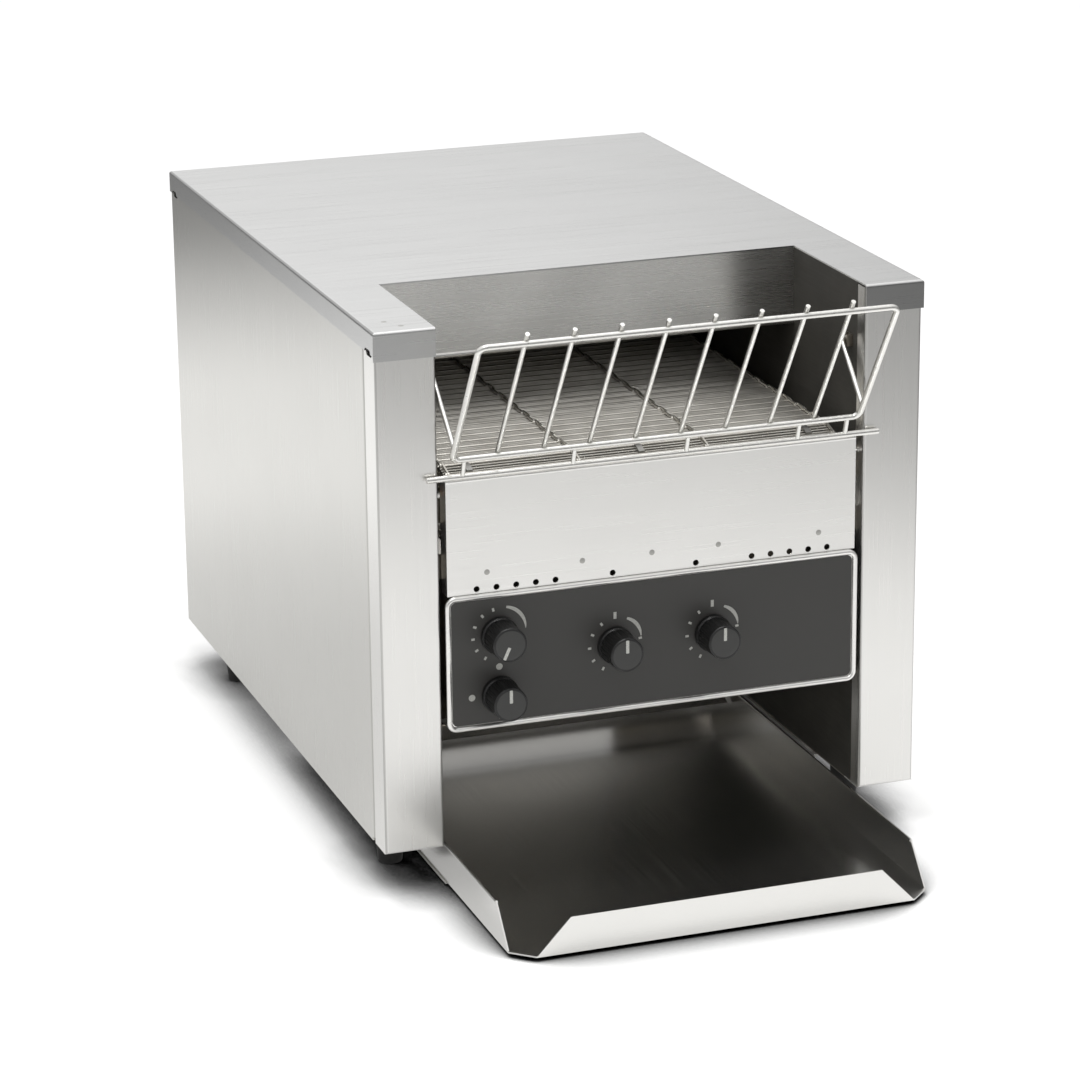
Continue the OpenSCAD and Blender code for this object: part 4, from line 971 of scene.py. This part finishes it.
@dataclass
class Conveyor(Assembly):
    """The linked-rod belt, its shafts, chain drive, loading rack and clips.

    Each pitch of the belt has three thin cross wires, which wave a little and end inside the
    rods' ends. Each wire's wave starts wave_shift radians further on than its neighbour's.
    """

    coats = {
        BELT_WIRE: ("belt_rods", "belt_links"),
        TURNED: ("idler_shaft", "drive_shaft", "motor_shaft"),
        MACHINED: ("idler_sprockets", "drive_sprockets", "chain_wheel", "motor_sprocket"),
        OILED_CHAIN: ("drive_chain",),
        BRONZE: ("shaft_bushes",),
        CASTING: ("gear_motor",),
        RACK_WIRE: ("wire_rack",),
        INNER: ("rack_clips",),
    }
    pitch_mm: float = 12.0
    teeth: int = 12
    rod_mm: float = 2.0
    wire_mm: float = 1.3
    wires: int = 3
    wire_short_mm: float = 0.6
    wave_mm: float = 0.12
    wave_length_mm: float = 48.0
    wave_shift: float = 0.7

    def loop(self) -> Array:
        """Returns the rods' middles round the belt's loop, as rows of y and z.

        The loop runs back along the top, round the rear sprocket, forward along the bottom and
        round the front one, one rod a pitch.
        """
        low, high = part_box("belt_rods")
        radius = self.pitch_mm * MM / (2 * math.sin(math.pi / self.teeth))
        rod = self.rod_mm * MM / 2
        mid_z = (low.z + high.z) / 2
        front, rear = low.y + radius + rod, high.y - radius - rod
        runs = round((rear - front) / (self.pitch_mm * MM))
        turn = np.arange(1, self.teeth // 2) * 2 * np.pi / self.teeth
        out = np.linspace(front, rear, runs + 1)
        top = np.column_stack([out, np.full(runs + 1, mid_z + radius)])
        far = np.column_stack([rear + radius * np.sin(turn), mid_z + radius * np.cos(turn)])
        bottom = np.column_stack([out[::-1], np.full(runs + 1, mid_z - radius)])
        near = np.column_stack([front - radius * np.sin(turn), mid_z - radius * np.cos(turn)])
        return np.vstack([top, far, bottom, near])

    def thin_wire(self, at: Array, half: float, phase: float) -> Shell:
        """Makes one thin cross wire with a slight wave along its length.

        Its middle is y = y0 + wave sin(2 pi x / length + phase), and its section has 6 sides.

        Args:
            at: The wire's y and z.
            half: Half its length.
            phase: Where its wave starts.

        Returns:
            The closed shell.
        """
        x = np.linspace(-half, half, 13)
        turn = 2 * np.pi * x / (self.wave_length_mm * MM) + phase
        y = at[0] + self.wave_mm * MM * np.sin(turn)
        path = np.column_stack([x, y, np.full(len(x), at[1])])
        profile = self.wire_mm / 2 * MM * heading(np.arange(6) * 60.0)
        return sweep(path, np.array([0.0, 1.0, 0.0]), np.array([0.0, 0.0, 1.0]), profile)

    def build(self) -> None:
        """Adds the thin cross wires that lie between the rods, in the links' eyes."""
        rods = self.loop()
        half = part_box("belt_rods")[1].x - self.wire_short_mm * MM
        ahead = np.roll(rods, -1, axis=0)
        shells = []
        for k in range(1, self.wires + 1):
            places = rods + (ahead - rods) * k / (self.wires + 1)
            phases = self.wave_shift * np.arange(len(places)) + k
            shells += [self.thin_wire(at, half, phase) for at, phase in zip(places, phases)]
        self.fit("belt_cross_wires", shells, BELT_WIRE, "cabinet", "belt_wire")


# -------- heat, slide, tray, electrics


@dataclass
class Oven(Assembly):
    """The heating tubes with their reflectors and blanket."""

    coats = {
        QUARTZ: ("upper_tubes", "lower_tubes"),
        CERAMIC: ("tube_caps",),
        REFLECTOR: ("upper_reflector", "lower_reflector"),
        FELT: ("upper_insulation",),
    }


@dataclass
class Discharge(Assembly):
    """The return slide, the pull-out tray and its guides."""

    coats = {
        SLIDE: ("return_slide",),
        TRAY_SHEET: ("discharge_tray",),
        GUIDE: ("tray_guides",),
    }


@dataclass
class Electrics(Assembly):
    """The cooling fan, the speed board and the terminal block."""

    coats = {
        FAN_PLASTIC: ("fan_frame", "fan_rotor"),
        PLATED: ("fan_guard",),
        BOARD: ("speed_board",),
        TERMINAL: ("terminal_block",),
    }


# -------- studio


@dataclass
class Studio:
    """Pale floor, white background, soft lamps and the camera.

    Attributes:
        focal_px: Focal length in pixels of a frame that is frame_px wide.
        azimuth: The camera's turn in degrees, negative to the left of the front.
        elevation: Its height angle over the floor, in degrees.
        floor_rings: Radii of the floor's rings of faces.
        paper: The floor's colour to light that it throws back.
        paper_seen: Its colour to the camera and in reflections.
        pool: Share of pool_m from the pool's middle, with its brightness to a reflection.
        pool_m: The radius of the pool of light on the floor.
        pool_along: Share of the way from pool_m in front to pool_m behind, with a factor for it.
        pool_gain: Brightness at the pool's brightest place.
        lift_level: How much the floor glows by itself to the camera and in reflections.
        contact_m: Reach of the shadow close to what touches the floor.
        contact_open: Openness of a place where that shadow is full, and where it ends.
        contact_power: How steeply it falls off.
        gloss_nook: Least share of the light that a reflection sees in that shadow.
        sky: Height on the backdrop, as the sine of its angle, with its brightness.
        dim: Axis, start, end and least brightness of each darker side of the backdrop.
        dim_ends: Heights on the backdrop between which the darker sides fade out.
        dome_level: Brightness of the dome that lights matt surfaces.
        softboxes: Each softbox's name, place, side and power in watts.
        aim: What the softboxes face.
    """

    frame_px: float = 1080.0
    focal_px: float = 3848.4
    sensor_mm: float = 36.0
    clip_m: float = 60.0
    azimuth: float = -19.32
    elevation: float = 17.751
    roll: float = -0.588
    place: Point = (-0.8428, -2.3767, 0.9694)
    floor_rings: tuple[float, ...] = (0.25, 0.5, 1.0, 2.0, 4.0, 9.0)
    floor_turns: int = 96
    paper: str = "#F1F1EF"
    paper_seen: str = "#A2A2A1"
    pool: Stops = (
        (0.08, 0.6), (0.18, 0.71), (0.29, 0.94), (0.4, 0.92), (0.45, 1.0), (0.55, 0.9),
        (0.61, 0.74), (0.66, 0.74), (0.77, 0.3), (0.87, 0.36), (0.93, 0.3), (1.0, 0.25),
    )
    pool_m: float = 2.0
    pool_centre: Point = (-0.35, 0.15, 0.0)
    pool_along: Stops = ((0.125, 1.0), (0.28, 0.714), (0.75, 0.68), (0.92, 0.44))
    pool_gain: float = 1.62
    lift_level: float = 0.8
    contact_m: float = 0.045
    contact_open: Pair = (0.3, 0.88)
    contact_power: float = 1.6
    gloss_nook: float = 0.7
    sky: Stops = ((0.0, 0.12), (0.08, 0.3), (0.17, 0.95), (1.0, 1.0))
    dim: tuple[tuple[str, float, float, float], ...] = (
        ("X", 0.34, 0.45, 0.6),
        ("Y", 0.5, 0.9, 0.8),
        ("Y", -0.5, -0.8, 0.35),
    )
    dim_ends: Pair = (0.3, 0.6)
    dome_level: float = 0.55
    softboxes: tuple[tuple[str, Point, float, float], ...] = (
        ("key_softbox", (-0.1, -0.1, 2.4), 0.4, 22.0),
        ("front_softbox", (-0.6, -1.1, 2.6), 1.2, 7.0),
        ("rear_softbox", (0.6, 1.6, 2.2), 1.6, 4.0),
    )
    aim: Point = (0.0, 0.0, 0.15)

    def camera(self) -> None:
        """Sets the camera from its angles: back is the way from the subject to the lens."""
        a, e, r = (math.radians(x) for x in (self.azimuth, self.elevation, self.roll))
        back = np.array([math.sin(a) * math.cos(e), -math.cos(a) * math.cos(e), math.sin(e)])
        right = np.cross(-back, [0, 0, 1])
        right /= np.linalg.norm(right)
        up = np.cross(right, -back)
        side = right * math.cos(r) + up * math.sin(r)
        top = up * math.cos(r) - right * math.sin(r)
        data = bpy.data.cameras.new("camera")
        data.sensor_width = self.sensor_mm
        data.lens = self.focal_px / self.frame_px * self.sensor_mm
        data.clip_end = self.clip_m
        camera = add_object("camera", data, frame_matrix(side, top, back, self.place))
        bpy.context.scene.camera = camera

    def floor(self) -> None:
        """Lays a round floor that shows white to the camera and keeps the shadows."""
        n, rings = self.floor_turns, np.array(self.floor_rings)
        t = np.arange(n) * 2 * np.pi / n
        ring = np.column_stack([np.cos(t), np.sin(t), np.zeros(n)])
        points = np.vstack([(rings[:, None, None] * ring).reshape(-1, 3), [[0.0, 0.0, 0.0]]])
        faces = [f[::-1] for f in grid_faces(len(rings), n, True)]
        faces += [(len(points) - 1, j, (j + 1) % n) for j in range(n)]
        mesh = bpy.data.meshes.new("floor")
        mesh.from_pydata(points.tolist(), [], faces)
        mesh.materials.append(self.floor_material())
        plane = add_object("floor", mesh)

    def floor_material(self) -> bpy.types.Material:
        """Makes the pale paper: matt, with a glow that keeps it white to the camera.

        A reflection sees a pool of light on it, and a shadow lies close to what touches it.
        """
        material = bpy.data.materials.new("pale_floor")
        material.use_nodes = True
        material.node_tree.nodes.clear()
        graph = Graph(material.node_tree)
        gloss = graph.node("LightPath").outputs["Is Glossy Ray"]
        place = graph.at()
        ends = {0: place, 1: self.pool_centre}
        away = graph.node("VectorMath", ends, operation="DISTANCE").outputs["Value"]
        away = graph.ramp(graph.math("DIVIDE", away, self.pool_m), self.pool)
        pool = graph.math("MULTIPLY", away, self.pool_gain)
        back = graph.span(graph.axis(place, "Y"), -self.pool_m, self.pool_m)
        pool = graph.math("MULTIPLY", pool, graph.ramp(back, self.pool_along))
        pool = graph.node("Mix", {0: gloss, 2: 1.0, 3: pool}).outputs[0]
        reach = {"Distance": self.contact_m}
        nook = graph.node("AmbientOcclusion", reach, samples=8).outputs["AO"]
        nook = graph.math("POWER", graph.span(nook, *self.contact_open), self.contact_power)
        nook = graph.math("MAXIMUM", nook, graph.math("MULTIPLY", gloss, self.gloss_nook))
        level = graph.math("MULTIPLY", pool, nook)
        seen = self.seen(graph)
        tone = graph.mix(seen, srgb(self.paper), srgb(self.paper_seen))
        matt = graph.node("BsdfDiffuse", {"Color": graph.mix(level, BLACK, tone)})
        lift = graph.math("MULTIPLY", graph.math("MULTIPLY", seen, level), self.lift_level)
        glow = graph.node("Emission", {"Color": WHITE, "Strength": lift})
        both = graph.node("AddShader", {0: matt.outputs[0], 1: glow.outputs[0]})
        graph.node("OutputMaterial", {"Surface": both.outputs[0]})
        return material

    def seen(self, graph: Graph) -> Socket:
        """Returns 1 for a ray from the camera, a gloss or a clear surface, and 0 for all else."""
        rays = graph.node("LightPath").outputs
        seen = graph.math("MAXIMUM", rays["Is Camera Ray"], rays["Is Glossy Ray"])
        return graph.math("MAXIMUM", seen, rays["Is Transmission Ray"])

    def world(self) -> None:
        """Sets the backdrop that the camera and the gloss see, and an even dome for all else.

        The backdrop is white to the camera. In a reflection it is grey at the horizon, as a
        studio is below its lamps, and darker to the right, at the back and behind the camera.
        """
        world = bpy.data.worlds.new("studio")
        world.use_nodes = True
        bpy.context.scene.world = world
        world.node_tree.nodes.clear()
        graph = Graph(world.node_tree)
        way = graph.at("Generated")
        height = graph.axis(way, "Z")
        level = graph.ramp(height, self.sky)
        high = graph.span(height, *self.dim_ends)
        for axis, start, end, least in self.dim:
            share = graph.span(graph.axis(way, axis), start, end, 1.0, least)
            level = graph.math("MULTIPLY", level, graph.math("MAXIMUM", share, high))
        camera = graph.node("LightPath").outputs["Is Camera Ray"]
        level = graph.math("MAXIMUM", level, camera)
        backdrop = graph.node("Background", {"Color": WHITE, "Strength": level})
        dome = graph.node("Background", {"Color": WHITE, "Strength": self.dome_level})
        sides = {0: self.seen(graph), 1: dome.outputs[0], 2: backdrop.outputs[0]}
        both = graph.node("MixShader", sides)
        graph.node("OutputWorld", {"Surface": both.outputs[0]})

    def facing(self, place: Point) -> Matrix:
        """Returns a softbox's place, turned so that it faces the middle of the toaster."""
        back = np.array(place) - self.aim
        back /= np.linalg.norm(back)
        side = np.cross([0, 0, 1], back)
        side /= np.linalg.norm(side)
        return frame_matrix(side, np.cross(back, side), back, place)

    def lamp(self, name: str, turn: Matrix, size: Pair, watts: float, spread: float = 180) -> None:
        """Sets one rectangular lamp.

        Args:
            name: The lamp's name.
            turn: Its place and turn.
            size: Its two sides.
            watts: Its power.
            spread: Angle in degrees into which it shines.
        """
        data = bpy.data.lights.new(name, "AREA")
        data.shape = "RECTANGLE"
        data.size, data.size_y = size
        data.energy = watts
        data.spread = math.radians(spread)
        add_object(name, data, turn)

    def build(self) -> None:
        """Sets up the whole studio."""
        self.camera()
        self.floor()
        self.world()
        for name, place, side, watts in self.softboxes:
            self.lamp(name, self.facing(place), (side, side), watts)
        slide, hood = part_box("return_slide")[0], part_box("hood_wall")
        over_slide = (0.035, slide.y + 0.11, slide.z + 0.17)
        under_slide = (0.01, slide.y + 0.08, slide.z + 0.015)
        over_belt = (0.04, hood[1].y + 0.02, hood[0].z + 0.01)
        # light that comes in past the belt's wires; tilt goes from facing down towards the back
        for name, place, tilt, size, watts in (
            ("light_on_slide", over_slide, 25, (0.16, 0.05), 0.095),
            ("light_under_slide", under_slide, -90, (0.14, 0.036), 0.0036),
            ("light_over_belt", over_belt, 40, (0.24, 0.02), 0.004),
        ):
            turn = Matrix.Rotation(math.radians(tilt), 4, "X")
            self.lamp(name, Matrix.Translation(place) @ turn, size, watts, spread=120)
        bpy.context.scene.view_settings.view_transform = "Standard"


def main() -> None:
    """Loads the frame, finishes every sub-assembly and reports each piece."""
    logging.basicConfig(level=logging.INFO, format="%(message)s")
    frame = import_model()
    nodes = frame["nodes"]
    Studio().build()
    for kind in (Case, Controls, Conveyor, Oven, Discharge, Electrics):
        part = kind(nodes)
        part.dress()
        part.build()
        pieces = ", ".join(part.made) or "no pieces of its own"
        LOG.info("%s: dressed, with %s", kind.__name__, pieces)


if __name__ == "__main__":
    main()
